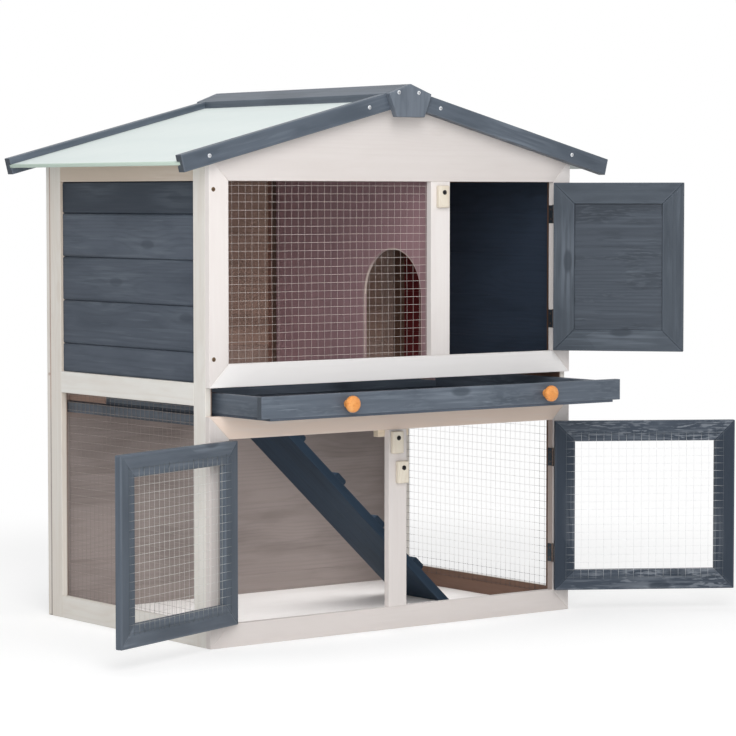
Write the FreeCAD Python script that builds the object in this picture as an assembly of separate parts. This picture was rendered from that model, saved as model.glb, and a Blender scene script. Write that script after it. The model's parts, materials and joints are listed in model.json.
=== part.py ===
"""Two-storey wooden rabbit hutch with a pitched roof, three doors, a slide-out tray and a ramp.

Millimetres, +Z up. The origin is the centre of the footprint, on the ground. The front of
the hutch faces -Y. The doors and the tray stand open, as they do in daily use.
"""

import FreeCAD, Part
import math
import os

from FreeCAD import Vector

# Body
body_width = 730.0
body_depth = 477.0
eave_height = 757.0
roof_pitch = 14.39
panel_thickness = 12.0
member_width = 36.0
side_member_width = 32.0
arris = 0.7

# Levels of the panels
base_height = 358.0
tray_slot_height = 44.0
gable_end_height = 38.0
side_mid_rail_lift = 15.0
side_mid_rail_height = 35.0
floor_thickness = 4.0

# Uprights of the front
door_stile_centre = 87.5
door_stile_width = 39.0
mid_post_width = 36.0
cleat_width = 62.0
cleat_height = 36.0
cleat_thickness = 12.0
cleat_drop = 12.0

# Horizontal boards
board_thickness = 7.0
board_pitch = 71.0
bottom_board_height = 47.0
back_bottom_board_height = 53.0
joint_chamfer = 1.6
tongue_height = 4.0
tongue_thickness = 2.4
tongue_clearance = 0.2

# Roof
sheet_thickness = 6.0
eave_overhang = 62.0
barge_overhang = 66.0
barge_height = 27.0
barge_thickness = 15.5
barge_play = 6.5
barge_reveal = 11.0
groove_depth = 8.0
groove_clearance = 0.2
ridge_cap_half_width = 43.0
ridge_cap_pitch = 20.5
ridge_plank_thickness = 11.0
ridge_plate_thickness = 12.0
ridge_plate_shoulder = 42.0
ridge_plate_foot = 28.0
ridge_plate_height = 53.0

# Welded mesh, drawn with one bar for several of its wires
wire_pitch = 12.7
wires_per_bar = 3
mesh_bar = 1.6
mesh_thickness = 1.0
mesh_overlap = 12.0
door_mesh_overlap = 16.0

# Partition between the two upper rooms
partition_centre = 85.0
partition_thickness = 4.0
partition_lift = 39.0
partition_top_gap = 1.0
arch_centre = 109.0
arch_half_width = 75.0
arch_height = 211.0
corner_batten_width = 7.0
corner_batten_depth = 16.0

# Ramp
ramp_thickness = 15.0
ramp_width = 126.0
ramp_pitch = 43.0
ramp_toe = 235.5
ramp_front = 172.0
ramp_head_drop = 12.0
ramp_batten_width = 20.0
ramp_batten_height = 24.0
cleat_bar_width = 26.0
cleat_bar_height = 8.0
cleat_bar_chamfer = 3.0
cleat_bar_start = 98.0
cleat_bar_pitch = 112.5
cleat_bar_count = 4

# Slide-out tray
tray_pull = 131.0
tray_closed_gap = 0.5
tray_length = 460.0
tray_front_margin = 4.0
tray_front_height = 33.5
tray_board_thickness = 12.0
tray_side_height = 31.0
tray_side_inset = 17.0
tray_bottom_thickness = 3.5
tray_bottom_margin = 1.0
tray_rail_clearance = 0.5
tray_hatch_length = 164.0
tray_hatch_margin = 14.0
runner_width = 17.0
runner_height = 18.0
runner_end_gap = 8.0
runner_clearance = 0.3
knob_spacing = 400.0
knob_diameter = 26.0
knob_neck_diameter = 14.0
knob_projection = 19.5
knob_neck_length = 4.0
knob_head_start = 9.0
knob_edge_radius = 5.0
knob_edge_steps = 2
knob_drop = 16.5

# Doors
door_thickness = 11.5
door_side_gap = 3.0
door_end_gap = 1.0
upper_door_member = 35.0
lower_door_member = 34.0
door_panel_thickness = 6.0
door_panel_boards = 3
upper_door_angle = 131.0
lower_right_door_angle = 148.0
lower_left_door_angle = 158.5

# Hinges
hinge_height = 30.0
hinge_stand_off = 2.5
knuckle_radius = 2.0
pin_radius = 1.1
pin_clearance = 0.08
pin_head_radius = 1.9
pin_head_height = 0.8
knuckle_sides = 12
leaf_thickness = 1.0
leaf_back_margin = 1.0
knuckle_gap = 0.4
upper_hinge_offset = 87.0
lower_hinge_offset = 80.5

# Turn buttons
button_width = 22.0
button_length = 36.0
button_thickness = 8.0
button_clearance = 0.3
button_arris = 1.5
upper_button_offset = 1.7
upper_button_drop = 17.3
left_button_offset = -4.5
left_button_drop = 13.4
right_button_offset = 6.2
right_button_drop = 61.9

# Screws, faceted to keep the model light
screw_sides = 6
head_sides = 10
dome_taper = 0.7
button_screw_radius = 2.0
button_screw_head_radius = 4.0
button_screw_head_height = 2.2
button_screw_length = 19.0
button_bore_clearance = 0.08
frame_screw_radius = 1.75
frame_screw_head_radius = 3.6
frame_screw_length = 34.0
frame_screw_inset = 8.0
frame_screw_end_distance = 44.0
frame_screw_top_distance = 51.0
roof_screw_radius = 1.6
roof_screw_head_radius = 3.2
roof_screw_head_height = 1.4
roof_screw_length = 18.0
roof_screw_places = (-379.0, -74.0, 69.5, 350.0)
plate_screw_length = 26.0
plate_screw_places = (-24.5, 15.5)
plate_screw_drop = 14.0

# Planes and levels that follow from the sizes above
half_width = body_width / 2
side_inner = half_width - panel_thickness
front_face = -body_depth / 2
back_face = body_depth / 2
front_inner = front_face + panel_thickness
back_inner = back_face - panel_thickness
barge_back = front_face - barge_play
barge_front = barge_back - barge_thickness
side_front = front_inner + side_member_width
side_back = back_inner - side_member_width
upper_base = base_height + tray_slot_height
upper_sill = upper_base + member_width
lower_head = base_height - member_width
gable_foot = eave_height - gable_end_height
ramp_head_height = base_height - ramp_head_drop
jamb = half_width - member_width
side_mid_rail_bottom = base_height + side_mid_rail_lift
side_mid_rail_top = side_mid_rail_bottom + side_mid_rail_height
door_stile_left = door_stile_centre - door_stile_width / 2
door_stile_right = door_stile_centre + door_stile_width / 2
post_half = mid_post_width / 2
roof_angle = math.radians(roof_pitch)
roof_slope = math.tan(roof_angle)
sheet_rise = sheet_thickness / math.cos(roof_angle)
relief_radius = (knuckle_radius + knuckle_gap) / math.cos(math.pi / knuckle_sides)

parts = {}


def box(low, high):
    """Returns a box between two corners."""
    size = Vector(*high) - Vector(*low)
    return Part.makeBox(size.x, size.y, size.z, Vector(*low))


def outline(points):
    """Returns a face bounded by straight edges through the points."""
    return Part.Face(Part.makePolygon(points + points[:1]))


def slab_xz(points, y_start, y_end):
    """Extrudes an outline of (x, z) points along Y."""
    face = outline([Vector(x, y_start, z) for x, z in points])
    return face.extrude(Vector(0, y_end - y_start, 0))


def slab_yz(points, x_start, x_end):
    """Extrudes an outline of (y, z) points along X."""
    face = outline([Vector(x_start, y, z) for y, z in points])
    return face.extrude(Vector(x_end - x_start, 0, 0))


def eased(solid, size=arris):
    """Returns the solid with a small chamfer on all its edges, as planed timber has."""
    return solid.makeChamfer(size, solid.Edges)


def mirrored(shape):
    """Returns the shape reflected to the other side of the hutch."""
    return shape.mirror(Vector(0, 0, 0), Vector(1, 0, 0))


def to_back(shape):
    """Returns the shape reflected from the front of the hutch to its back."""
    return shape.mirror(Vector(0, 0, 0), Vector(0, 1, 0))


def group(solids):
    """Returns separate solids as one group."""
    return Part.makeCompound(solids)


def roof_underside(x):
    """Returns the height of the underside of the roof sheets at a distance from the middle."""
    return eave_height + (half_width - abs(x)) * roof_slope


def mesh_panel(x_start, x_end, z_start, z_end, y_start):
    """Returns a flat mesh in the XZ plane: one face with square holes, given a thickness."""
    pitch = wire_pitch * wires_per_bar
    columns = max(1, int((x_end - x_start - mesh_bar) / pitch))
    rows = max(1, int((z_end - z_start - mesh_bar) / pitch))
    step_x = (x_end - x_start - mesh_bar) / columns
    step_z = (z_end - z_start - mesh_bar) / rows
    wires = [rectangle(x_start, x_end, z_start, z_end, y_start)]
    for column in range(columns):
        left = x_start + mesh_bar + column * step_x
        for row in range(rows):
            low = z_start + mesh_bar + row * step_z
            wires.append(rectangle(left, left + step_x - mesh_bar, low, low + step_z - mesh_bar, y_start))
    return Part.Face(wires).extrude(Vector(0, mesh_thickness, 0))


def rectangle(x_start, x_end, z_start, z_end, y):
    """Returns a closed rectangular wire in the XZ plane."""
    corners = [
        Vector(x_start, y, z_start),
        Vector(x_end, y, z_start),
        Vector(x_end, y, z_end),
        Vector(x_start, y, z_end),
    ]
    return Part.makePolygon(corners + corners[:1])


def board_section(low, high, face, back, grooved, tongued):
    """Returns the section of one matched board as (across, height) points.

    face is the side seen from outside, with a small bevel at each joint. back is the inner
    side. A board has a groove below and a tongue above where another board follows.
    """
    across = 1 if back > face else -1
    middle = (face + back) / 2
    half_tongue = tongue_thickness / 2
    half_groove = half_tongue + tongue_clearance
    section = [(back, low)]
    if grooved:
        groove_top = low + tongue_height + tongue_clearance
        section.append((middle + across * half_groove, low))
        section.append((middle + across * half_groove, groove_top))
        section.append((middle - across * half_groove, groove_top))
        section.append((middle - across * half_groove, low))
    section.append((face + across * joint_chamfer, low))
    section.append((face, low + joint_chamfer))
    section.append((face, high - joint_chamfer))
    section.append((face + across * joint_chamfer, high))
    if tongued:
        tongue_top = high + tongue_height
        section.append((middle - across * half_tongue, high))
        section.append((middle - across * half_tongue, tongue_top))
        section.append((middle + across * half_tongue, tongue_top))
        section.append((middle + across * half_tongue, high))
    section.append((back, high))
    return section


def board_levels(low, high, first_height):
    """Returns the heights of the joints of a stack of boards, with both ends."""
    levels = [low]
    level = low + first_height
    while level < high - tongue_height * 2:
        levels.append(level)
        level += board_pitch
    levels.append(high)
    return levels


def polygon_wire(radius, sides, y):
    """Returns a regular polygon about the Y axis, with its corners on a circle."""
    turns = [2 * math.pi * index / sides for index in range(sides + 1)]
    return Part.makePolygon([Vector(radius * math.cos(turn), y, radius * math.sin(turn)) for turn in turns])


def faceted_rod(sections, sides):
    """Lofts straight between polygons of the given (y, radius) sections along +Y."""
    wires = [polygon_wire(radius, sides, y) for y, radius in sections]
    return Part.makeLoft(wires, True, True)


def countersunk_screw(radius, head_radius, length):
    """Returns a screw along +Y whose flat head lies in the plane y = 0."""
    cone = head_radius - radius
    return faceted_rod([(0, head_radius), (cone, radius), (length, radius)], screw_sides)


def domed_screw(radius, head_radius, head_height, length):
    """Returns a screw along +Y whose domed head stands in front of the plane y = 0."""
    head = faceted_rod([(-head_height, head_radius * dome_taper), (0, head_radius)], head_sides)
    return head.fuse(faceted_rod([(0, radius), (length, radius)], screw_sides))


def pivot_screw(radius, head_radius, head_height, length):
    """Returns a round screw along +Y, on which a button turns."""
    head = faceted_rod([(-head_height, head_radius * dome_taper), (0, head_radius)], head_sides)
    return head.fuse(Part.makeCylinder(radius, length, Vector(0, 0, 0), Vector(0, 1, 0)))


def placed(shape, x, y, z):
    """Returns a copy of the shape moved to a place."""
    copy = shape.copy()
    copy.translate(Vector(x, y, z))
    return copy


def frame_members(x_start, x_end, z_start, z_end, y_start, y_end, width):
    """Returns the four mitred members of a rectangular frame: left, right, bottom, top."""
    inner_left = x_start + width
    inner_right = x_end - width
    inner_low = z_start + width
    inner_high = z_end - width
    left = [(x_start, z_start), (inner_left, inner_low), (inner_left, inner_high), (x_start, z_end)]
    right = [(x_end, z_start), (x_end, z_end), (inner_right, inner_high), (inner_right, inner_low)]
    bottom = [(x_start, z_start), (x_end, z_start), (inner_right, inner_low), (inner_left, inner_low)]
    top = [(x_start, z_end), (inner_left, inner_high), (inner_right, inner_high), (x_end, z_end)]
    return [eased(slab_xz(points, y_start, y_end)) for points in (left, right, bottom, top)]


def upper_frame():
    """Returns the left stile, bottom rail and gable board of an upper panel at the front."""
    stile = [
        (-half_width, upper_base),
        (-jamb, upper_sill),
        (-jamb, gable_foot),
        (-half_width, eave_height),
    ]
    rail = [
        (-half_width, upper_base),
        (half_width, upper_base),
        (jamb, upper_sill),
        (-jamb, upper_sill),
    ]
    gable = [
        (-jamb, gable_foot),
        (jamb, gable_foot),
        (half_width, eave_height),
        (0, roof_underside(0)),
        (-half_width, eave_height),
    ]
    return [eased(slab_xz(points, front_face, front_inner)) for points in (stile, rail, gable)]


def frame_screw_places():
    """Returns the (x, z) places of the screws at the left and right edges of an upper panel."""
    low = upper_base + frame_screw_end_distance
    high = eave_height - frame_screw_top_distance
    edge = half_width - frame_screw_inset
    return [(x, z) for x in (-edge, edge) for z in (low, high)]


def build_front_and_back():
    """Builds the frames of the front and back panels and the screws through their stiles."""
    screw = countersunk_screw(frame_screw_radius, frame_screw_head_radius, frame_screw_length)
    front_screws = [placed(screw, x, front_face, z) for x, z in frame_screw_places()]
    screws = group(front_screws + [to_back(item) for item in front_screws])
    stile, rail, gable = upper_frame()
    parts["frame_screws"] = screws
    parts["front_upper_left_stile"] = stile.cut(screws)
    parts["front_upper_right_stile"] = mirrored(stile).cut(screws)
    parts["front_upper_bottom_rail"] = rail
    parts["front_gable_board"] = gable
    parts["front_upper_mid_stile"] = eased(
        box((door_stile_left, front_face, upper_sill), (door_stile_right, front_inner, gable_foot))
    )
    lower = frame_members(
        -half_width, half_width, 0, base_height, front_face, front_inner, member_width
    )
    names = ("left_stile", "right_stile", "bottom_rail", "top_rail")
    for name, member in zip(names, lower):
        parts["front_lower_" + name] = member
    parts["front_lower_mid_post"] = eased(
        box((-post_half, front_face, member_width), (post_half, front_inner, lower_head))
    )
    cleat_top = lower_head + cleat_height - cleat_drop
    parts["mid_post_cleat"] = box(
        (-cleat_width / 2, front_inner, lower_head - cleat_drop),
        (cleat_width / 2, front_inner + cleat_thickness, cleat_top),
    )
    back_stiles = [to_back(stile).cut(screws), to_back(mirrored(stile)).cut(screws)]
    back_lower = frame_members(
        -half_width, half_width, 0, upper_base, back_inner, back_face, member_width
    )
    parts["back_gable_board"] = to_back(gable)
    parts["back_frame"] = group(back_stiles + [to_back(rail)] + back_lower)


def back_boards(low, high):
    """Returns a stack of boards between the stiles of the back panel, flush inside."""
    levels = board_levels(low, high, back_bottom_board_height)
    boards = []
    for index in range(len(levels) - 1):
        section = board_section(
            levels[index],
            levels[index + 1],
            back_inner + board_thickness,
            back_inner,
            index > 0,
            index < len(levels) - 2,
        )
        boards.append(slab_yz(section, -jamb, jamb))
    return group(boards)


def build_sides():
    """Builds the left side panel, its boards, mesh and tray runner, and mirrors each."""
    outer = -half_width
    inner = -side_inner
    screws = parts["frame_screws"]
    stiles = [
        eased(box((outer, front_inner, 0), (inner, side_front, eave_height))).cut(screws),
        eased(box((outer, side_back, 0), (inner, back_inner, eave_height))).cut(screws),
    ]
    rail_levels = (
        (0, member_width),
        (side_mid_rail_bottom, side_mid_rail_top),
        (gable_foot, eave_height),
    )
    rails = [eased(box((outer, side_front, low), (inner, side_back, high))) for low, high in rail_levels]
    levels = board_levels(side_mid_rail_top, gable_foot, bottom_board_height)
    boards = []
    for index in range(len(levels) - 1):
        section = board_section(
            levels[index],
            levels[index + 1],
            inner - board_thickness,
            inner,
            index > 0,
            index < len(levels) - 2,
        )
        boards.append(slab_xz(section, side_front, side_back))
    mesh = mesh_panel(
        side_front - mesh_overlap,
        side_back + mesh_overlap,
        member_width - mesh_overlap,
        side_mid_rail_bottom + mesh_overlap,
        0,
    )
    mesh.rotate(Vector(0, 0, 0), Vector(0, 0, 1), 90)
    mesh.translate(Vector(inner + mesh_thickness, 0, 0))
    runner_top = base_height + tray_rail_clearance - runner_clearance
    runner = box(
        (inner + mesh_thickness, front_inner + runner_end_gap, runner_top - runner_height),
        (inner + mesh_thickness + runner_width, back_inner - runner_end_gap, runner_top),
    )
    pieces = {
        "side_frame": group(stiles + rails),
        "side_boards": group(boards),
        "side_mesh": mesh,
        "tray_runner": runner,
    }
    for name, shape in pieces.items():
        parts["left_" + name] = shape
        parts["right_" + name] = mirrored(shape)


def sloping_slab(x_far, underside, thickness, y_start, y_end):
    """Returns the right-hand half of a pair of sloping boards that meet at the middle.

    The far end is cut square to the slope at x_far, measured on the top face.
    """
    rise = thickness / math.cos(roof_angle)
    top_middle = underside + rise
    top_far = top_middle - x_far * roof_slope
    foot = (x_far - thickness * math.sin(roof_angle), top_far - thickness * math.cos(roof_angle))
    return slab_xz([(0, underside), (0, top_middle), (x_far, top_far), foot], y_start, y_end)


def build_roof():
    """Builds the roof sheets, the grooved barge boards, the ridge planks and the end plates."""
    ridge = roof_underside(0)
    sheet_inset = groove_depth - 1
    sheet_start = barge_back - sheet_inset
    sheet = sloping_slab(half_width + eave_overhang, ridge, sheet_thickness, sheet_start, -sheet_start)
    barge_top = ridge + sheet_rise + barge_reveal
    barge_underside = barge_top - barge_height / math.cos(roof_angle)
    barge = sloping_slab(
        half_width + barge_overhang, barge_underside, barge_height, barge_front, barge_back
    )
    groove = sloping_slab(
        half_width + barge_overhang * 2,
        ridge - groove_clearance,
        sheet_thickness + 2 * groove_clearance,
        barge_back - groove_depth,
        barge_back,
    )
    plank = ridge_plank()
    cap_top = ridge_cap_top(0)
    rebate = slab_xz(
        [
            (0, ridge),
            (0, cap_top),
            (ridge_cap_half_width, cap_top),
            (ridge_cap_half_width, roof_underside(ridge_cap_half_width)),
        ],
        barge_back - groove_depth,
        barge_back,
    )
    barge = barge.cut(groove).cut(rebate).cut(plank)
    screw = domed_screw(
        roof_screw_radius, roof_screw_head_radius, roof_screw_head_height, roof_screw_length
    )
    front_screws = []
    for x in roof_screw_places:
        centre = barge_top - abs(x) * roof_slope - barge_height / 2 / math.cos(roof_angle)
        front_screws.append(placed(screw, x, barge_front, centre))
    plate_front = barge_front - ridge_plate_thickness
    plate_screw = domed_screw(
        roof_screw_radius, roof_screw_head_radius, roof_screw_head_height, plate_screw_length
    )
    for x in plate_screw_places:
        front_screws.append(placed(plate_screw, x, plate_front, cap_top - plate_screw_drop))
    all_screws = group(front_screws + [to_back(item) for item in front_screws])
    parts["roof_screws"] = all_screws
    parts["front_right_barge_board"] = barge.cut(all_screws)
    parts["front_left_barge_board"] = mirrored(barge).cut(all_screws)
    parts["rear_right_barge_board"] = to_back(barge).cut(all_screws)
    parts["rear_left_barge_board"] = to_back(mirrored(barge)).cut(all_screws)
    parts["right_roof_sheet"] = sheet.cut(all_screws)
    parts["left_roof_sheet"] = mirrored(sheet).cut(all_screws)
    plank = eased(plank)
    parts["ridge_planks"] = group([plank.cut(all_screws), mirrored(plank).cut(all_screws)])
    foot_level = cap_top - ridge_plate_height
    plate = eased(slab_xz(
        [
            (0, cap_top),
            (ridge_plate_shoulder, ridge_cap_top(ridge_plate_shoulder)),
            (ridge_plate_foot, foot_level),
            (-ridge_plate_foot, foot_level),
            (-ridge_plate_shoulder, ridge_cap_top(ridge_plate_shoulder)),
        ],
        plate_front,
        barge_front,
    ))
    parts["ridge_end_plates"] = group([plate.cut(all_screws), to_back(plate).cut(all_screws)])


def ridge_cap_top(x):
    """Returns the height of the top of the ridge planks at a distance from the middle."""
    cap_angle = math.radians(ridge_cap_pitch)
    seat = roof_underside(ridge_cap_half_width) + sheet_rise
    edge_top = seat + ridge_plank_thickness / math.cos(cap_angle)
    return edge_top + (ridge_cap_half_width - x) * math.tan(cap_angle)


def ridge_plank():
    """Returns the right-hand ridge plank, from plate to plate, with its lower edge on the sheet."""
    rise = ridge_plank_thickness / math.cos(math.radians(ridge_cap_pitch))
    top_middle = ridge_cap_top(0)
    top_edge = ridge_cap_top(ridge_cap_half_width)
    section = [
        (0, top_middle - rise),
        (0, top_middle),
        (ridge_cap_half_width, top_edge),
        (ridge_cap_half_width, top_edge - rise),
    ]
    return slab_xz(section, barge_front, -barge_front)


def build_window():
    """Builds the mesh of the upper window, held on the inner faces of the front frame."""
    parts["window_mesh"] = mesh_panel(
        -jamb - mesh_overlap,
        door_stile_left + mesh_overlap,
        upper_sill - mesh_overlap,
        gable_foot + mesh_overlap,
        front_inner,
    )


def build_partition():
    """Builds the partition with its arched way through, and the batten in its rear corner."""
    left = partition_centre - partition_thickness / 2
    right = partition_centre + partition_thickness / 2
    low = base_height + partition_lift
    high = roof_underside(right) - partition_top_gap
    centre = front_inner + arch_centre
    spring = low + arch_height - arch_half_width
    near = centre - arch_half_width
    far = centre + arch_half_width
    arch = Part.Arc(
        Vector(left, far, spring),
        Vector(left, centre, spring + arch_half_width),
        Vector(left, near, spring),
    )
    border = Part.makePolygon([
        Vector(left, near, spring),
        Vector(left, near, low),
        Vector(left, front_inner, low),
        Vector(left, front_inner, high),
        Vector(left, back_inner, high),
        Vector(left, back_inner, low),
        Vector(left, far, low),
        Vector(left, far, spring),
    ])
    face = Part.Face(Part.Wire([arch.toShape()] + border.Edges))
    parts["partition"] = face.extrude(Vector(partition_thickness, 0, 0))
    parts["partition_batten"] = box(
        (left - corner_batten_width, back_inner - corner_batten_depth, low), (left, back_inner, high)
    )


def ramp_frame():
    """Returns the point of the ramp's toe on its upper face and its direction uphill."""
    angle = math.radians(ramp_pitch)
    toe = Vector(ramp_toe + ramp_thickness / math.sin(angle), 0, floor_thickness)
    uphill = Vector(-math.cos(angle), 0, math.sin(angle))
    return toe, uphill


def build_ramp():
    """Builds the ramp board, its cross bars, and the batten that carries its head."""
    slope = math.tan(math.radians(ramp_pitch))
    near = front_inner + ramp_front
    far = near + ramp_width
    toe, uphill = ramp_frame()
    head_x = ramp_head_x()
    section = [
        (ramp_toe, floor_thickness),
        (toe.x, floor_thickness),
        (toe.x - (ramp_head_height - floor_thickness) / slope, ramp_head_height),
        (head_x, ramp_head_height),
        (head_x, floor_thickness + (ramp_toe - head_x) * slope),
    ]
    parts["ramp_board"] = slab_xz(section, near, far)
    parts["ramp_head_batten"] = box(
        (head_x - ramp_batten_width, front_inner, ramp_head_height - ramp_batten_height),
        (head_x, back_inner, ramp_head_height),
    )
    outward = Vector(uphill.z, 0, -uphill.x)
    half = cleat_bar_width / 2
    inset = half - cleat_bar_chamfer
    shoulder = cleat_bar_height - cleat_bar_chamfer
    offsets = [(-half, 0), (half, 0), (half, shoulder), (inset, cleat_bar_height)]
    offsets += [(-inset, cleat_bar_height), (-half, shoulder)]
    bars = []
    for index in range(cleat_bar_count):
        centre = toe + uphill * (cleat_bar_start + index * cleat_bar_pitch)
        corners = [centre + uphill * along + outward * up for along, up in offsets]
        bars.append(slab_xz([(corner.x, corner.z) for corner in corners], near, far))
    parts["ramp_cross_bars"] = group(bars)


def ramp_head_x():
    """Returns where the head of the ramp is cut upright, against its batten."""
    slope = math.tan(math.radians(ramp_pitch))
    head_run = (ramp_head_height - floor_thickness) / slope
    return ramp_toe - head_run + ramp_thickness


def build_floor():
    """Builds the thin floor panel of the lower storey."""
    parts["floor_panel"] = box((-side_inner, front_inner, 0), (side_inner, back_inner, floor_thickness))


def build_tray():
    """Builds the slide-out tray, pulled out by tray_pull, with its two turned knobs."""
    front = front_face - tray_closed_gap - tray_pull
    rear = front + tray_length
    bottom_low = base_height + tray_rail_clearance
    bottom_high = bottom_low + tray_bottom_thickness
    board_half = half_width - tray_front_margin
    side_outer = board_half - tray_side_inset
    side_start = front + tray_board_thickness
    side_end = rear - tray_board_thickness
    bottom_half = side_outer + tray_bottom_margin
    parts["tray_front_board"] = eased(
        box(
            (-board_half, front, bottom_high),
            (board_half, side_start, bottom_high + tray_front_height),
        )
    )
    side_high = bottom_high + tray_side_height
    side = eased(
        box((side_outer - tray_board_thickness, side_start, bottom_high), (side_outer, side_end, side_high))
    )
    parts["tray_sides"] = group([mirrored(side), side])
    parts["tray_back_board"] = eased(
        box((-side_outer, side_end, bottom_high), (side_outer, rear, side_high))
    )
    hatch_start = front_inner + ramp_front - tray_hatch_margin - tray_pull
    hatch_end = hatch_start + ramp_width + 2 * tray_hatch_margin
    hatch = box(
        (ramp_head_x(), hatch_start, bottom_low),
        (ramp_head_x() + tray_hatch_length, hatch_end, bottom_high),
    )
    panel = box((-bottom_half, front, bottom_low), (bottom_half, rear, bottom_high))
    parts["tray_bottom"] = panel.cut(hatch)
    knob_height = bottom_high + tray_front_height - knob_drop
    knob = turned_knob()
    parts["tray_knobs"] = group([
        placed(knob, x, front, knob_height) for x in (-knob_spacing / 2, knob_spacing / 2)
    ])


def turned_knob():
    """Returns a turned knob that stands on the plane y = 0 and points to -Y, its rim rounded."""
    neck = knob_neck_diameter / 2
    head = knob_diameter / 2
    profile = [
        Vector(0, 0, 0),
        Vector(neck, 0, 0),
        Vector(neck, -knob_neck_length, 0),
        Vector(head, -knob_head_start, 0),
    ]
    for step in range(knob_edge_steps + 1):
        turn = step / knob_edge_steps * math.pi / 2
        radius = head - knob_edge_radius * (1 - math.cos(turn))
        depth = knob_projection - knob_edge_radius * (1 - math.sin(turn))
        profile.append(Vector(radius, -depth, 0))
    profile += [Vector(0, -knob_projection, 0), Vector(0, 0, 0)]
    return Part.Face(Part.makePolygon(profile)).revolve(Vector(0, 0, 0), Vector(0, 1, 0), 360)


class Door:
    """One hinged door in a rectangular opening of the front, made shut and then swung open.

    side is -1 for a door hung on the left of its opening and 1 for one hung on the right.
    """

    def __init__(self, name, side, opening, member, angle, hinge_offset):
        self.name = name
        self.side = side
        self.left, self.right, self.low, self.high = opening
        self.member = member
        self.angle = angle
        self.hinge_offset = hinge_offset
        self.jamb_x = self.left if side < 0 else self.right
        self.pin_x = self.jamb_x - side * door_side_gap / 2
        self.pin_y = front_face - hinge_stand_off

    def swung(self, shape):
        """Returns the shape turned about the pin from shut to the open pose."""
        copy = shape.copy()
        copy.rotate(Vector(self.pin_x, self.pin_y, 0), Vector(0, 0, 1), self.side * self.angle)
        return copy

    def leaf_rectangle(self):
        """Returns the outer edges of the door: left, right, bottom and top."""
        return (
            self.left + door_side_gap,
            self.right - door_side_gap,
            self.low + door_end_gap,
            self.high - door_end_gap,
        )

    def frame(self):
        """Returns the four mitred members of the door."""
        left, right, low, high = self.leaf_rectangle()
        rear = front_face + door_thickness
        return group(frame_members(left, right, low, high, front_face, rear, self.member))

    def panel(self):
        """Returns the boards that fill the door, recessed from both of its faces."""
        left, right, low, high = self.leaf_rectangle()
        inner_low = low + self.member
        inner_high = high - self.member
        pitch = (inner_high - inner_low) / door_panel_boards
        face = front_face + (door_thickness - door_panel_thickness) / 2
        boards = []
        for index in range(door_panel_boards):
            section = board_section(
                inner_low + index * pitch,
                inner_low + (index + 1) * pitch,
                face,
                face + door_panel_thickness,
                index > 0,
                index < door_panel_boards - 1,
            )
            boards.append(slab_yz(section, left + self.member, right - self.member))
        return group(boards)

    def mesh(self):
        """Returns the mesh held on the inner face of the door."""
        left, right, low, high = self.leaf_rectangle()
        margin = self.member - door_mesh_overlap
        return mesh_panel(
            left + margin, right - margin, low + margin, high - margin, front_face + door_thickness
        )

    def hinge_levels(self):
        """Returns the heights of the middles of the two hinges."""
        middle = (self.low + self.high) / 2
        return (middle - self.hinge_offset, middle + self.hinge_offset)

    def knuckle(self, low, high, radius):
        """Returns a faceted barrel about the pin's axis, with its corners at the radius."""
        turns = [2 * math.pi * index / knuckle_sides for index in range(knuckle_sides + 1)]
        corners = [
            Vector(self.pin_x + radius * math.cos(turn), self.pin_y + radius * math.sin(turn), low)
            for turn in turns
        ]
        return Part.Face(Part.makePolygon(corners)).extrude(Vector(0, 0, high - low))

    def knuckle_spans(self, level):
        """Returns the heights of the outer knuckles, on the jamb, and of the one on the door."""
        third = hinge_height / 3
        low = level - hinge_height / 2
        jamb_spans = [(low, low + third), (low + 2 * third, low + hinge_height)]
        door_span = (low + third + knuckle_gap, low + 2 * third - knuckle_gap)
        return jamb_spans, door_span

    def leaf_plate(self, level, plane_x, thickness, rear):
        """Returns the flat plate of one hinge leaf, from the pin's plane to its rear edge."""
        low = level - hinge_height / 2
        start = min(plane_x, plane_x + thickness)
        return box(
            (start, self.pin_y, low),
            (start + abs(thickness), rear, low + hinge_height),
        )

    def jamb_leaf(self, level):
        """Returns the leaf on the jamb, with its two knuckles."""
        jamb_spans, door_span = self.knuckle_spans(level)
        rear = front_inner - leaf_back_margin
        leaf = self.leaf_plate(level, self.jamb_x, -self.side * leaf_thickness, rear)
        relief_low = door_span[0] - knuckle_gap
        relief_high = door_span[1] + knuckle_gap
        relief = self.knuckle(relief_low, relief_high, relief_radius)
        leaf = leaf.cut(relief)
        for low, high in jamb_spans:
            leaf = leaf.fuse(self.knuckle(low, high, knuckle_radius))
        pin = self.knuckle(level - hinge_height, level + hinge_height, pin_radius)
        return leaf.removeSplitter().cut(pin)

    def door_leaf(self, level):
        """Returns the leaf on the door's edge, with its one knuckle."""
        jamb_spans, door_span = self.knuckle_spans(level)
        rear = front_face + door_thickness - leaf_back_margin
        edge_x = self.jamb_x - self.side * door_side_gap
        leaf = self.leaf_plate(level, edge_x, self.side * leaf_thickness, rear)
        for low, high in jamb_spans:
            relief = self.knuckle(low - knuckle_gap, high + knuckle_gap, relief_radius)
            leaf = leaf.cut(relief)
        leaf = leaf.fuse(self.knuckle(door_span[0], door_span[1], knuckle_radius)).removeSplitter()
        bore_radius = (pin_radius + pin_clearance) / math.cos(math.pi / knuckle_sides)
        return leaf.cut(self.knuckle(level - hinge_height, level + hinge_height, bore_radius))

    def pin(self, level):
        """Returns the hinge pin, with a flat head at its top."""
        low = level - hinge_height / 2
        high = level + hinge_height / 2
        shank = self.knuckle(low, high, pin_radius)
        return shank.fuse(self.knuckle(high, high + pin_head_height, pin_head_radius))


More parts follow.
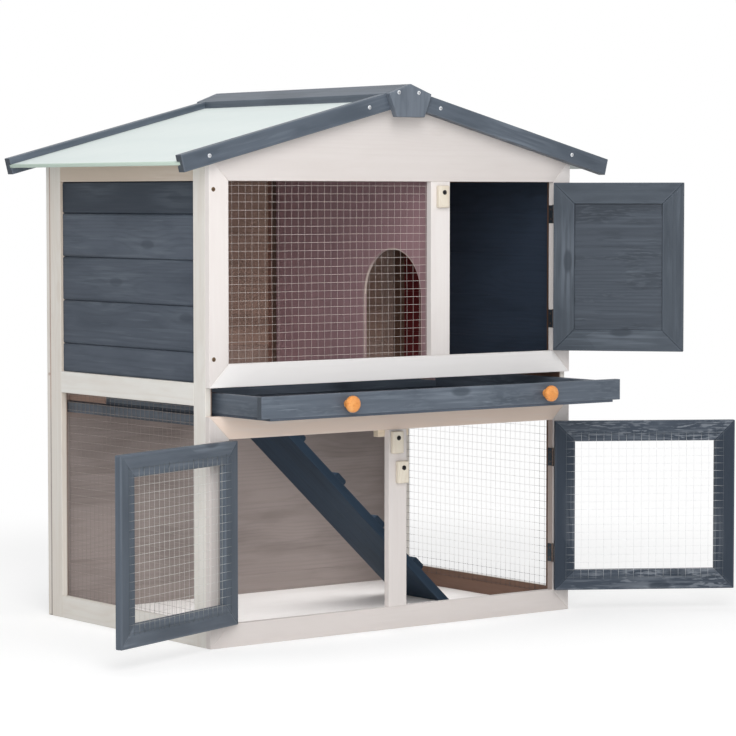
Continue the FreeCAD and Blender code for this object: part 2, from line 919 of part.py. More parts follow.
def doors():
    """Returns the three doors of the front."""
    upper = (door_stile_right, jamb, upper_sill, gable_foot)
    lower_left = (-jamb, -post_half, member_width, lower_head)
    lower_right = (post_half, jamb, member_width, lower_head)
    return [
        Door("upper_door", 1, upper, upper_door_member, upper_door_angle, upper_hinge_offset),
        Door(
            "lower_left_door", -1, lower_left, lower_door_member, lower_left_door_angle, lower_hinge_offset
        ),
        Door(
            "lower_right_door", 1, lower_right, lower_door_member, lower_right_door_angle, lower_hinge_offset
        ),
    ]


def build_doors():
    """Builds the doors in their open poses, with their hinges."""
    jamb_leaves = []
    pins = []
    for door in doors():
        levels = door.hinge_levels()
        parts[door.name + "_frame"] = door.swung(door.frame())
        filling = door.panel() if door.name == "upper_door" else door.mesh()
        kind = "_panel" if door.name == "upper_door" else "_mesh"
        parts[door.name + kind] = door.swung(filling)
        leaves = group([door.door_leaf(level) for level in levels])
        parts[door.name + "_hinge_leaves"] = door.swung(leaves)
        jamb_leaves += [door.jamb_leaf(level) for level in levels]
        pins += [door.pin(level) for level in levels]
    parts["jamb_hinge_leaves"] = group(jamb_leaves)
    parts["hinge_pins"] = group(pins)


def build_buttons():
    """Builds the three turn buttons, hanging down, and the screws that they turn on."""
    places = {
        "upper_turn_button": (door_stile_centre + upper_button_offset, gable_foot - upper_button_drop),
        "lower_left_turn_button": (left_button_offset, lower_head - left_button_drop),
        "lower_right_turn_button": (right_button_offset, lower_head - right_button_drop),
    }
    rear = front_face - button_clearance
    front = rear - button_thickness
    head_front = front - button_clearance
    screw = pivot_screw(
        button_screw_radius, button_screw_head_radius, button_screw_head_height, button_screw_length
    )
    bore_radius = button_screw_radius + button_bore_clearance
    screws = []
    for name, (x, z) in places.items():
        top = z + button_width / 2
        block = box((x - button_width / 2, front, top - button_length), (x + button_width / 2, rear, top))
        bore = Part.makeCylinder(bore_radius, button_thickness, Vector(x, front, z), Vector(0, 1, 0))
        parts[name] = eased(block, button_arris).cut(bore)
        screws.append(placed(screw, x, head_front, z))
    parts["turn_button_screws"] = group(screws)
    for name in ("front_upper_mid_stile", "front_lower_mid_post"):
        parts[name] = parts[name].cut(parts["turn_button_screws"])


build_front_and_back()
parts["back_upper_boards"] = back_boards(upper_sill, gable_foot)
parts["back_lower_boards"] = back_boards(member_width, upper_base - member_width)
build_sides()
build_roof()
build_window()
build_partition()
build_floor()
build_ramp()
build_tray()
build_doors()
build_buttons()

os.makedirs("parts", exist_ok=True)
for name, shape in parts.items():
    shape.exportStep("parts/" + name + ".step")
print(len(parts), "nodes")
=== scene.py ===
"""Dressed model of a two-storey wooden rabbit hutch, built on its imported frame.

Metres, +Z up; the front of the hutch faces -Y. Each sub-assembly is a class that takes its
place from the frame, makes its pieces with mesh operators and gives them their finishes.
"""

import json
import logging
import math
import random
from dataclasses import dataclass, replace
from enum import Enum
from functools import cache
from typing import Any, Callable, ClassVar, Iterator, Sequence

import bmesh
import bpy
from mathutils import Matrix, Vector, noise


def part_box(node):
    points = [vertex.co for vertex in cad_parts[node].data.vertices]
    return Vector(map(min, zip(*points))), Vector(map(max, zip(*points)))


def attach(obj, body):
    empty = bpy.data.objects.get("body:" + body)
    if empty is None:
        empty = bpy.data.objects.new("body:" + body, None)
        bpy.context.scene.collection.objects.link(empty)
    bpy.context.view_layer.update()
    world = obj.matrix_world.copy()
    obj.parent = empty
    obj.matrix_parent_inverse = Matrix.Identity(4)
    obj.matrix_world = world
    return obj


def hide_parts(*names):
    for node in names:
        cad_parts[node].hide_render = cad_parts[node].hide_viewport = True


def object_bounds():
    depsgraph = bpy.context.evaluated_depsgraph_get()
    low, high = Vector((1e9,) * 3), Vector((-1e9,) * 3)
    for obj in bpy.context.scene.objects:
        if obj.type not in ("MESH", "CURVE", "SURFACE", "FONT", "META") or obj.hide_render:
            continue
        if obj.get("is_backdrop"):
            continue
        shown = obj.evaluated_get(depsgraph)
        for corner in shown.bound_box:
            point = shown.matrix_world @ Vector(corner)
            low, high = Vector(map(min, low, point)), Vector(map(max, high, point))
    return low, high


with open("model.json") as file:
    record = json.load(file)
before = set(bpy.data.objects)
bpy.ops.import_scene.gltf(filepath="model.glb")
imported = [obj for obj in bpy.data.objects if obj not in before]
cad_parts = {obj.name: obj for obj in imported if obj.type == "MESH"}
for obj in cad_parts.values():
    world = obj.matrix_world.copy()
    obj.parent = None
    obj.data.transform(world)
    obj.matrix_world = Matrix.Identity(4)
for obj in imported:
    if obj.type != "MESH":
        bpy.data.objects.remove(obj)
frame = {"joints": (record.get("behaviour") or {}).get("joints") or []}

CAD_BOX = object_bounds()
LOG = logging.getLogger("hutch")

Colour = tuple[float, float, float]
Point = tuple[float, float]
Point3 = tuple[float, float, float]
Plane = tuple[Vector, Vector]
Pieces = Iterator[bpy.types.Object]

BODY = "hutch_body"
IDENTITY = Matrix.Identity(4)
ARRIS = 0.0007
RIM = 0.0035
SHARP_EDGE = math.radians(28)
FLAT_BORDER = math.radians(12)
CREASE = math.radians(50)
ROOF_PITCH = math.radians(14.39)


class Axis(Enum):
    """A direction of the frame, along which grain runs or a section is drawn out."""

    X = 0
    Y = 1
    Z = 2

    @property
    def unit(self) -> Vector:
        """Returns the unit vector of the axis."""
        return Vector([1.0 if index == self.value else 0.0 for index in range(3)])

    def lift(self, point: Point, level: float) -> Vector:
        """Places a point of a section at a level along the axis.

        Args:
            point: The two coordinates across the axis, in the frame's order.
            level: The coordinate along the axis.

        Returns:
            The point in three dimensions.
        """
        values = list(point)
        values.insert(self.value, level)
        return Vector(values)


class Hand(Enum):
    """The side of the hutch that a part belongs to."""

    LEFT = -1
    RIGHT = 1

    @property
    def mirror(self) -> Matrix:
        """Returns the mirroring that takes a part of the right side to this one."""
        return Matrix.Scale(self.value, 4, Axis.X.unit)


# Shader graphs


def math_operator(operation: str, reflected: bool = False) -> Callable[["Signal", Any], "Signal"]:
    """Makes an operator of signals.

    Args:
        operation: The operation of its Math node.
        reflected: True where the signal is the second of the two values.

    Returns:
        The operator, as a method of Signal.
    """

    def operator(signal: "Signal", other: Any) -> "Signal":
        """Adds the Math node."""
        return signal.math(operation, *((other, signal) if reflected else (signal, other)))

    return operator


class Signal:
    """A shader socket that takes part in arithmetic; each operator adds a Math node."""

    __add__ = math_operator("ADD")
    __radd__ = math_operator("ADD", reflected=True)
    __sub__ = math_operator("SUBTRACT")
    __rsub__ = math_operator("SUBTRACT", reflected=True)
    __mul__ = math_operator("MULTIPLY")
    __rmul__ = math_operator("MULTIPLY", reflected=True)
    __pow__ = math_operator("POWER")

    def __init__(self, graph: "Graph", socket: bpy.types.NodeSocket) -> None:
        """Wraps a socket of a graph."""
        self.graph = graph
        self.socket = socket

    def math(self, operation: str, *values: Any) -> "Signal":
        """Adds a Math node of an operation, with signals or numbers as its values."""
        return self.graph.add("ShaderNodeMath", {"operation": operation}, dict(enumerate(values)))

    def ramp(self, low: float, high: float) -> "Signal":
        """Rises smoothly from 0 to 1, or falls where low is above high.

        Args:
            low: The value that gives 0.
            high: The value that gives 1.

        Returns:
            The risen signal.
        """
        settings = {"interpolation_type": "SMOOTHSTEP"}
        first, last = sorted((low, high))
        inputs = {"Value": self, "From Min": first, "From Max": last}
        rise = self.graph.add("ShaderNodeMapRange", settings, inputs)
        return rise if low < high else 1 - rise


class Graph:
    """The node tree of a material or of the world."""

    def __init__(self, owner: bpy.types.Material | bpy.types.World) -> None:
        """Gives the owner an empty tree.

        Args:
            owner: The material or the world.
        """
        owner.use_nodes = True
        self.owner = owner
        self.tree = owner.node_tree
        self.tree.nodes.clear()

    def node(self, kind: str, settings: dict[str, Any], inputs: dict[Any, Any]) -> bpy.types.Node:
        """Adds a node.

        Args:
            kind: The node's type.
            settings: Properties that are set before the sockets.
            inputs: Values or signals by the socket's name or number.

        Returns:
            The new node.
        """
        made = self.tree.nodes.new(kind)
        for name, value in settings.items():
            setattr(made, name, value)
        for key, value in inputs.items():
            if isinstance(value, Signal):
                self.tree.links.new(value.socket, made.inputs[key])
            else:
                made.inputs[key].default_value = value
        return made

    def add(
        self, kind: str, settings: dict[str, Any], inputs: dict[Any, Any], output: Any = 0
    ) -> Signal:
        """Adds a node and returns the signal of one of its outputs."""
        return Signal(self, self.node(kind, settings, inputs).outputs[output])

    def attribute(self, name: str, output: str = "Fac") -> Signal:
        """Reads an attribute of the mesh."""
        return self.add("ShaderNodeAttribute", {"attribute_name": name}, {}, output)

    def place(self, scale: Point3 = (1, 1, 1)) -> Signal:
        """Reads the place on the object, in metres, stretched by a scale."""
        where = self.add("ShaderNodeTexCoord", {}, {}, "Object")
        return self.add("ShaderNodeMapping", {}, {"Vector": where, "Scale": scale})

    def split(self, vector: Signal) -> tuple[Signal, Signal, Signal]:
        """Splits a vector into its three numbers."""
        made = self.node("ShaderNodeSeparateXYZ", {}, {"Vector": vector})
        return tuple(Signal(self, socket) for socket in made.outputs)

    def join(self, x: Any, y: Any, z: Any) -> Signal:
        """Joins three numbers to a vector."""
        return self.add("ShaderNodeCombineXYZ", {}, {"X": x, "Y": y, "Z": z})

    def noise(self, where: Signal, scale: float = 1.0, detail: float = 2.0) -> Signal:
        """Returns soft noise between 0 and 1 at a place."""
        inputs = {"Vector": where, "Scale": scale, "Detail": detail}
        return self.add("ShaderNodeTexNoise", {}, inputs, "Fac")

    def mix(self, factor: Any, first: Any, second: Any) -> Signal:
        """Mixes two colours by a factor."""
        inputs = {"Factor": factor, 6: rgba(first), 7: rgba(second)}
        return self.add("ShaderNodeMix", {"data_type": "RGBA"}, inputs, 2)

    def layer(self, colour: Any, coats: Sequence[tuple[Any, Any]]) -> Signal:
        """Lays coats over a colour, one after another, each with its cover and its colour."""
        for cover, coat in coats:
            colour = self.mix(cover, colour, coat)
        return colour

    def bump(self, height: Signal, strength: float, depth: float) -> Signal:
        """Turns a height into a normal; depth is the relief in metres."""
        inputs = {"Strength": strength, "Distance": depth, "Height": height}
        return self.add("ShaderNodeBump", {}, inputs, "Normal")

    def close(self, shader: Signal, output: str = "ShaderNodeOutputMaterial") -> Any:
        """Joins the last shader to the output and returns the owner of the tree."""
        self.node(output, {}, {"Surface": shader})
        return self.owner

    def surface(self, inputs: dict[str, Any]) -> bpy.types.Material:
        """Closes the graph with a Principled shader of the given inputs."""
        return self.close(self.add("ShaderNodeBsdfPrincipled", {}, inputs))


def shaded(colour: Colour, share: float = 0.55) -> Colour:
    """Returns a darker form of a plain colour."""
    return tuple(value * share for value in colour)


def rgba(colour: Any) -> Any:
    """Gives a plain colour its fourth number and lets a signal pass."""
    return colour if isinstance(colour, Signal) else (*colour, 1.0)


# Finishes


@dataclass(frozen=True)
class Finish:
    """What a piece is finished with; stuff is the last word of the piece's name."""

    name: str
    slot: str
    stuff: ClassVar[str] = "wood"

    def material(self) -> bpy.types.Material:
        """Builds the finish in a new material."""
        return self.dress(Graph(bpy.data.materials.new(self.name)))

    def dress(self, graph: Graph) -> bpy.types.Material:
        """Fills the graph of the material."""
        raise NotImplementedError


@dataclass(frozen=True)
class BrushedPine(Finish):
    """Pine under a coat laid on with a brush, so thin that grain and knots show.

    The grain follows the vector attribute "grain" of each board: along the fibres, across
    them and through the board, measured from the heart of the log.
    """

    coat: Colour
    dark: Colour
    pale: Colour
    # The rim colour: wear on most finishes, painted shade on the slate boards and door panels.
    worn_and_shaded: Colour
    rings: float = 0.35
    strokes: float = 0.25
    blotches: float = 0.2
    knots: float = 0.2
    wear_and_shade: float = 0.4
    roughness: float = 0.6
    relief: float = 0.25
    ring_width: float = 0.0046
    scratches: float = 0.0
    streaks: float = 0.0
    gloss: float = 0.5
    ends: float = 0.25
    # The colours of the faces inside the rooms, partly bare wood and partly painted shade;
    # deep_inside takes over further in and is painted shade as well.
    inside: Colour = (0.3, 0.25, 0.225)
    deep_inside: Colour = (0.3, 0.25, 0.225)
    deep_axis: int = 1
    deep_from: Point = (1.0, 2.0)

    def knot_masks(self, graph: Graph, along: Signal, across: Signal) -> tuple[Signal, Signal]:
        """Scatters a few knots over a board.

        Args:
            graph: The material's graph.
            along: The place along the fibres.
            across: The place across the fibres.

        Returns:
            The mask of the knots and that of the fibres that bend round them.
        """
        where = graph.join(along * 4.2, across * 11.0, 0.0)
        settings = {"voronoi_dimensions": "2D"}
        made = graph.node("ShaderNodeTexVoronoi", settings, {"Vector": where, "Scale": 1.0})
        distance = Signal(graph, made.outputs["Distance"])
        chance = graph.split(Signal(graph, made.outputs["Color"]))[0].ramp(0.63, 0.66)
        return distance.ramp(0.1, 0.055) * chance, distance.ramp(0.42, 0.06) * chance

    def room_wash_and_shade(self, graph: Graph, worked: Signal) -> Signal:
        """Mixes the colour of the faces inside the rooms, partly bare wood and partly painted
        shade, which changes to another one further in, painted shade as well.

        Args:
            graph: The material's graph.
            worked: How far the wood shows through at a place.

        Returns:
            The colour.
        """
        deep = graph.split(graph.place())[self.deep_axis].ramp(*self.deep_from)
        plain = graph.mix(deep, self.inside, self.deep_inside)
        return graph.mix(
            worked, plain, graph.mix(deep, shaded(self.inside), shaded(self.deep_inside))
        )

    def dress(self, graph: Graph) -> bpy.types.Material:
        """Fills the graph: the coat, its grain, brush marks and knots, rims that show wear and
        painted shade, and the colour of the rooms, which is partly painted shade.

        Args:
            graph: The material's graph.

        Returns:
            The material.
        """
        along, across, through = graph.split(graph.attribute("grain", "Vector"))

        def figure(lengthwise: float, crosswise: float, detail: float) -> Signal:
            """Returns noise stretched along the fibres."""
            where = graph.join(along * lengthwise, across * crosswise, through * crosswise)
            return graph.noise(where, 1.0, detail)

        knot, halo = self.knot_masks(graph, along, across)
        ring = (across * across + through * through) ** 0.5
        ring = ring + (figure(2.4, 11, 2.0) - 0.5) * 0.011 + halo * 0.006
        wave = ring * (2 * math.pi / self.ring_width)
        late = (wave.math("SINE", wave) * 0.5 + 0.5) ** 2.6
        fibre, stroke = figure(16, 620, 2.0), figure(9, 190, 3.0)
        smear, blotch = figure(14, 70, 3.0), figure(6, 22, 4.0)
        tone = graph.attribute("tone")
        calm = 1 - tone * 0.42
        brushed = stroke.ramp(0.5, 0.66) * blotch.ramp(0.6, 0.38)
        scratch = (fibre + stroke * 0.6).ramp(0.92, 1.06) * smear.ramp(0.5, 0.62)
        streak = figure(55, 340, 3.0).ramp(0.5, 0.58)
        patch = (smear * 0.5 + blotch * 0.5).ramp(0.44, 0.56)
        wear_and_shade_mask = graph.attribute("rim").ramp(0.25, 1.0) * blotch.ramp(0.36, 0.62)
        worked = late * 0.14 + blotch.ramp(0.45, 0.7) * 0.4 + (fibre - 0.5) * 0.4
        colour = graph.layer(self.coat, (
            # Tone darkens the coat: by chance on most boards, and as painted shade of the eaves
            # where it is marked high on the side's top rail and top board.
            (tone * 0.35, self.dark),
            (late * self.rings + (fibre - 0.5) * self.rings, self.dark),
            (blotch.ramp(0.48, 0.7) * self.blotches, self.dark),
            (smear.ramp(0.5, 0.68) * self.blotches * 0.6, self.dark),
            (brushed * calm * self.strokes, self.pale),
            (scratch * calm * self.scratches, self.pale),
            (streak * patch * calm * self.streaks, self.pale),
            (halo * stroke.ramp(0.35, 0.6) * self.knots * 0.6, self.pale),
            (knot * self.knots, self.dark),
            # Rims: wear, and on the slate boards and door panels painted shade in the joints and
            # along the borders.
            (wear_and_shade_mask * self.wear_and_shade, self.worn_and_shaded),
            (graph.attribute("end") * self.ends, shaded(self.dark, 0.6)),
            # Faces inside the rooms: partly bare wood, partly painted shade.
            (graph.attribute("inside"), self.room_wash_and_shade(graph, worked)),
        ))
        relief = late * 0.35 + fibre * 0.45 + stroke * 0.5 + knot * 0.4
        return graph.surface({
            "Base Color": colour,
            "Roughness": (stroke - 0.5) * 0.25 + (fibre - 0.5) * 0.15 + self.roughness,
            "Specular IOR Level": self.gloss,
            "Normal": graph.bump(relief, self.relief, 0.0006),
        })


@dataclass(frozen=True)
class RoofSheet(Finish):
    """Pale weatherproof sheet with a fine pebbled face and greener cut edges."""

    stuff: ClassVar[str] = "panel"
    face: Colour = (0.735, 0.8, 0.785)
    cool: Colour = (0.66, 0.735, 0.725)
    edge: Colour = (0.5, 0.62, 0.53)

    def dress(self, graph: Graph) -> bpy.types.Material:
        """Fills the graph: clouded and streaked sheet, greener at its edges.

        Args:
            graph: The material's graph.

        Returns:
            The material.
        """
        cloud = graph.noise(graph.place((9, 3, 9)), 1.0, 3.0)
        pebble = graph.noise(graph.place(), 900.0, 2.0)
        streak = graph.noise(graph.place((2, 60, 2)), 1.0, 2.0)
        colour = graph.layer(self.face, (
            (cloud.ramp(0.35, 0.75) * 0.5, self.cool),
            (streak.ramp(0.5, 0.8) * 0.3, self.cool),
            (graph.attribute("rim").ramp(0.1, 0.9) * 0.85, self.edge),
        ))
        return graph.surface({
            "Base Color": colour,
            "Roughness": 0.46 + pebble * 0.18,
            "Normal": graph.bump(pebble + streak * 0.4, 0.25, 0.0004),
        })


@dataclass(frozen=True)
class Metal(Finish):
    """Metal of small hardware, mottled where its plating has dulled; on the uprights of a mesh the
    dull colour is painted shade.
    """

    stuff: ClassVar[str] = "steel"
    bright: Colour
    dull: Colour
    metallic: float
    roughness: float
    mottle: float = 260.0
    daub_and_shade: Colour = (0.06, 0.08, 0.1)

    def dress(self, graph: Graph) -> bpy.types.Material:
        """Fills the graph: bright and dull plating, and the daub colour where "rim" says so, which
        is paint on the door meshes' margins and painted shade on the right side's mesh.

        Args:
            graph: The material's graph.

        Returns:
            The material.
        """
        patch = graph.noise(graph.place(), self.mottle, 3.0)
        speck = graph.noise(graph.place(), self.mottle * 6, 2.0)
        dull = patch.ramp(0.4, 0.66)
        mottled = dull * 0.8 + (speck - 0.5) * 0.3
        # Where tone is 1, on the uprights of a mesh, the whole colour turns dull: painted shade, as
        # the light from above falls on the cross wires.
        dim = mottled.math("MAXIMUM", mottled, graph.attribute("tone"))
        coats = ((dim, self.dull), (graph.attribute("rim"), self.daub_and_shade))
        return graph.surface({
            "Base Color": graph.layer(self.bright, coats),
            "Metallic": self.metallic - dull * 0.25,
            "Roughness": self.roughness + dull * 0.2 + (speck - 0.5) * 0.1,
            "Normal": graph.bump(patch * 0.6 + speck * 0.4, 0.15, 0.0002),
        })


class Wire(Metal):
    """The metal of a welded mesh."""

    stuff: ClassVar[str] = "wire"


@dataclass(frozen=True)
class StainedKnob(Finish):
    """Turned wood with a clear orange stain under a thin varnish."""

    stain: Colour = (0.76, 0.29, 0.06)
    deep: Colour = (0.48, 0.14, 0.025)
    light: Colour = (0.9, 0.47, 0.15)

    def dress(self, graph: Graph) -> bpy.types.Material:
        """Fills the graph: stained grain with lighter clouds.

        Args:
            graph: The material's graph.

        Returns:
            The material.
        """
        grain = graph.noise(graph.place((330, 40, 900)), 1.0, 3.0)
        cloud = graph.noise(graph.place(), 90.0, 2.0)
        colour = graph.layer(self.stain, (
            (grain.ramp(0.45, 0.75) * 0.55, self.deep), (cloud.ramp(0.45, 0.7) * 0.4, self.light),
        ))
        return graph.surface({
            "Base Color": colour,
            "Roughness": 0.34 + grain * 0.14,
            "Coat Weight": 0.6,
            "Coat Roughness": 0.15,
            "Normal": graph.bump(grain, 0.12, 0.0003),
        })


WHITEWASH = BrushedPine(
    "whitewash", "whitewashed_pine", (0.83, 0.787, 0.765), (0.7, 0.635, 0.605),
    (0.87, 0.84, 0.82), (0.76, 0.69, 0.655), rings=0.1, blotches=0.16, wear_and_shade=0.3, relief=0.2,
)
# Its room faces take a dark brown: partly bare wood, partly painted shade.
SIDE_WASH = replace(
    WHITEWASH, name="side_whitewash", coat=(0.79, 0.775, 0.735), dark=(0.56, 0.46, 0.37),
    pale=(0.84, 0.825, 0.79), worn_and_shaded=(0.7, 0.65, 0.59), rings=0.12, inside=(0.15, 0.085, 0.06),
)
# A darker copy of the whitewash: painted shade on the gable board under the barge boards and on the
# lower frame; its room colour darkens the lower right stile's reveal.
SHADED_WASH = replace(
    WHITEWASH, name="shaded_whitewash", coat=(0.715, 0.668, 0.645), dark=(0.6, 0.54, 0.51),
    pale=(0.76, 0.72, 0.7), inside=(0.24, 0.18, 0.155),
)
# A lighter copy of the whitewash: painted light on the sill rail above the tray.
SILL_LIGHT_WASH = replace(
    WHITEWASH, name="sill_light_whitewash", coat=(0.96, 0.94, 0.93), dark=(0.86, 0.83, 0.81),
    pale=(0.97, 0.955, 0.945),
)
# Its room faces take a brown in the upper room and a taupe in the run: partly bare wood, partly
# painted shade.
BACK_WASH = replace(
    SIDE_WASH, name="back_whitewash", inside=(0.43, 0.3, 0.25), deep_inside=(0.31, 0.262, 0.245),
    deep_axis=2, deep_from=(0.36, 0.32),
)
# A warm copy of the whitewash: painted shade, the warm tint of the shade under the tray on the rail
# below it.
TRAY_SHADE_WASH = replace(WHITEWASH, name="warm_shade_whitewash", coat=(0.89, 0.69, 0.55))
# A lighter copy of the whitewash: painted light on the floor of the run, which lies in shade.
FLOOR_LIGHT_WASH = replace(
    WHITEWASH, name="floor_light_whitewash", coat=(0.93, 0.9, 0.88), dark=(0.82, 0.77, 0.74),
    pale=(0.95, 0.93, 0.91), worn_and_shaded=(0.85, 0.8, 0.77), rings=0.08, strokes=0.2, blotches=0.14,
    knots=0.1,
)
SLATE_PAINT = BrushedPine(
    "slate_paint", "slate_paint", (0.096, 0.118, 0.15), (0.04, 0.055, 0.075),
    (0.2, 0.235, 0.28), (0.15, 0.175, 0.21), rings=0.22, strokes=0.3, blotches=0.5, knots=0.75,
    roughness=0.5, relief=0.35, scratches=0.35, ends=0.75,
)
TRAY_PAINT = replace(SLATE_PAINT, name="slate_tray", scratches=0.7, streaks=0.22)
PLATE_PAINT = replace(SLATE_PAINT, name="slate_plate", coat=(0.135, 0.16, 0.195), ends=0.3)
UPPER_DOOR_PAINT = replace(
    SLATE_PAINT, name="slate_upper_door", coat=(0.06, 0.075, 0.095), dark=(0.028, 0.038, 0.052),
    pale=(0.14, 0.165, 0.2), worn_and_shaded=(0.1, 0.12, 0.15), scratches=0.3,
)
# Door panels and tray runners: the nearly black rim colour is painted shade along the border, the
# joints and the edges.
PANEL_PAINT = replace(
    SLATE_PAINT, name="slate_panel", coat=(0.057, 0.071, 0.092), dark=(0.018, 0.025, 0.036),
    pale=(0.13, 0.155, 0.185), worn_and_shaded=(0.016, 0.022, 0.032), rings=0.3, strokes=0.22,
    blotches=0.75, knots=0.6, wear_and_shade=1.2, relief=0.4, scratches=0.5, streaks=0.25, ends=0.5,
)
DOOR_PAINT = replace(
    SLATE_PAINT, name="slate_door", coat=(0.056, 0.071, 0.095), dark=(0.022, 0.032, 0.048),
    pale=(0.24, 0.265, 0.3), worn_and_shaded=(0.1, 0.12, 0.15), rings=0.25, strokes=0.4, blotches=0.6,
    knots=0.7, wear_and_shade=0.35, gloss=0.3, roughness=0.48, relief=0.4, scratches=0.5, streaks=0.7,
    ends=0.6,
)
# Slate boards: the darker rim colour is painted shade in the joints; their room faces take a dark
# navy and, further back, a deep maroon, both painted shade.
BOARD_PAINT = replace(
    SLATE_PAINT, name="slate_boards", coat=(0.083, 0.1, 0.129), dark=(0.03, 0.04, 0.056),
    pale=(0.15, 0.178, 0.21), worn_and_shaded=(0.04, 0.052, 0.07), rings=0.18, strokes=0.34, blotches=0.3,
    knots=0.4, wear_and_shade=0.9, gloss=0.2, roughness=0.52, scratches=0.4, ends=0.5,
    inside=(0.038, 0.054, 0.083), deep_inside=(0.14, 0.02, 0.023), deep_from=(0.07, 0.12),
)
# Room faces: brown in the upper room and taupe in the run, partly bare wood and partly painted
# shade; the dark rims are painted shade in the joints.
BACK_BOARDS = replace(
    BOARD_PAINT, name="slate_back_boards", slot="taupe_wash", inside=(0.46, 0.31, 0.25),
    deep_inside=(0.315, 0.268, 0.252), deep_axis=2, deep_from=(0.36, 0.32),
)
# Slate paint made dark navy: painted shade on the ramp and its bars inside the run.
SHADED_RAMP_PAINT = BrushedPine(
    "navy_paint", "navy_paint", (0.026, 0.045, 0.072), (0.012, 0.022, 0.037),
    (0.055, 0.08, 0.115), (0.045, 0.065, 0.09), rings=0.2, strokes=0.3, blotches=0.4, knots=0.4,
    wear_and_shade=0.3, gloss=0.12, relief=0.3,
)
# Bare pine made dark red-brown: painted shade of the roof on the batten; its front face, marked
# inside, is darker still, painted shade as well.
SHADED_BATTEN_PINE = BrushedPine(
    "shaded_red_brown_pine", "bare_pine", (0.3, 0.16, 0.125), (0.2, 0.1, 0.08), (0.38, 0.23, 0.18),
    (0.2, 0.1, 0.08), rings=0.16, blotches=0.25, knots=0.3, roughness=0.62,
    inside=(0.1, 0.06, 0.045),
)
# The partition's dark mauve coat is painted shade of the upper room; its paler rims are bare,
# unpainted edges.
MAUVE_SHADE_WASH = BrushedPine(
    "mauve_shade_wash", "taupe_wash", (0.45, 0.28, 0.305), (0.32, 0.19, 0.21), (0.51, 0.345, 0.365),
    (0.62, 0.5, 0.45), rings=0.12, blotches=0.25, wear_and_shade=1.6, roughness=0.62, relief=0.2,
)
BARE_PINE = BrushedPine(
    "bare_pine", "bare_pine", (0.79, 0.70, 0.56), (0.62, 0.49, 0.34), (0.85, 0.78, 0.66),
    (0.72, 0.6, 0.45), strokes=0.2, roughness=0.5, ring_width=0.0032,
)
BUTTON_WOOD = replace(
    BARE_PINE, name="cream_pine", coat=(0.8, 0.735, 0.62), dark=(0.66, 0.56, 0.43),
    pale=(0.86, 0.81, 0.72), worn_and_shaded=(0.74, 0.65, 0.53), rings=0.3, knots=0.0, ring_width=0.0028,
)
ROOF_SHEET = RoofSheet("roof_sheet", "roof_sheet")
WIRE = Wire(
    "galvanised_wire", "welded_mesh", (0.93, 0.85, 0.8), (0.52, 0.46, 0.43), 0.4, 0.42, 420.0
)
# A lighter copy of the wire for the right door's mesh: painted light.
LIT_DOOR_WIRE = replace(WIRE, name="door_wire", bright=(0.95, 0.96, 0.97), dull=(0.8, 0.81, 0.83))
SHADED_WIRE = replace(WIRE, name="shaded_wire", bright=(0.8, 0.8, 0.77), dull=(0.55, 0.55, 0.52))
# A darker copy of the wire for the left side's mesh: painted shade.
SHADED_SIDE_WIRE = replace(WIRE, name="shaded_side_wire", bright=(0.42, 0.37, 0.34), dull=(0.24, 0.2, 0.18))
# A lighter copy for the right side's mesh, which lies in the run's shade: painted light; its nearly
# black daub is painted shade.
LIT_SIDE_WIRE = replace(
    WIRE, name="pale_wire", bright=(0.93, 0.91, 0.9), dull=(0.7, 0.67, 0.65),
    daub_and_shade=(0.02, 0.014, 0.011),
)
HINGE_STEEL = Metal(
    "bronzed_steel", "hinge_steel", (0.2, 0.15, 0.125), (0.07, 0.05, 0.042), 0.7, 0.38
)
BLACK_SCREW = Metal(
    "black_screw", "black_screw", (0.018, 0.018, 0.02), (0.008, 0.008, 0.009), 0.4, 0.42
)
ZINC_SCREW = Metal("zinc_screw", "zinc_screw", (0.9, 0.92, 0.95), (0.7, 0.72, 0.75), 0.5, 0.28)
FRAME_SCREW = Metal(
    "yellowed_screw", "frame_screw", (0.3, 0.2, 0.12), (0.12, 0.08, 0.055), 0.8, 0.4
)
KNOB_STAIN = StainedKnob("orange_stain", "orange_wood")


@cache
def material_of(finish: Finish) -> bpy.types.Material:
    """Returns the material of a finish, which is made only once."""
    return finish.material()


# Workshop


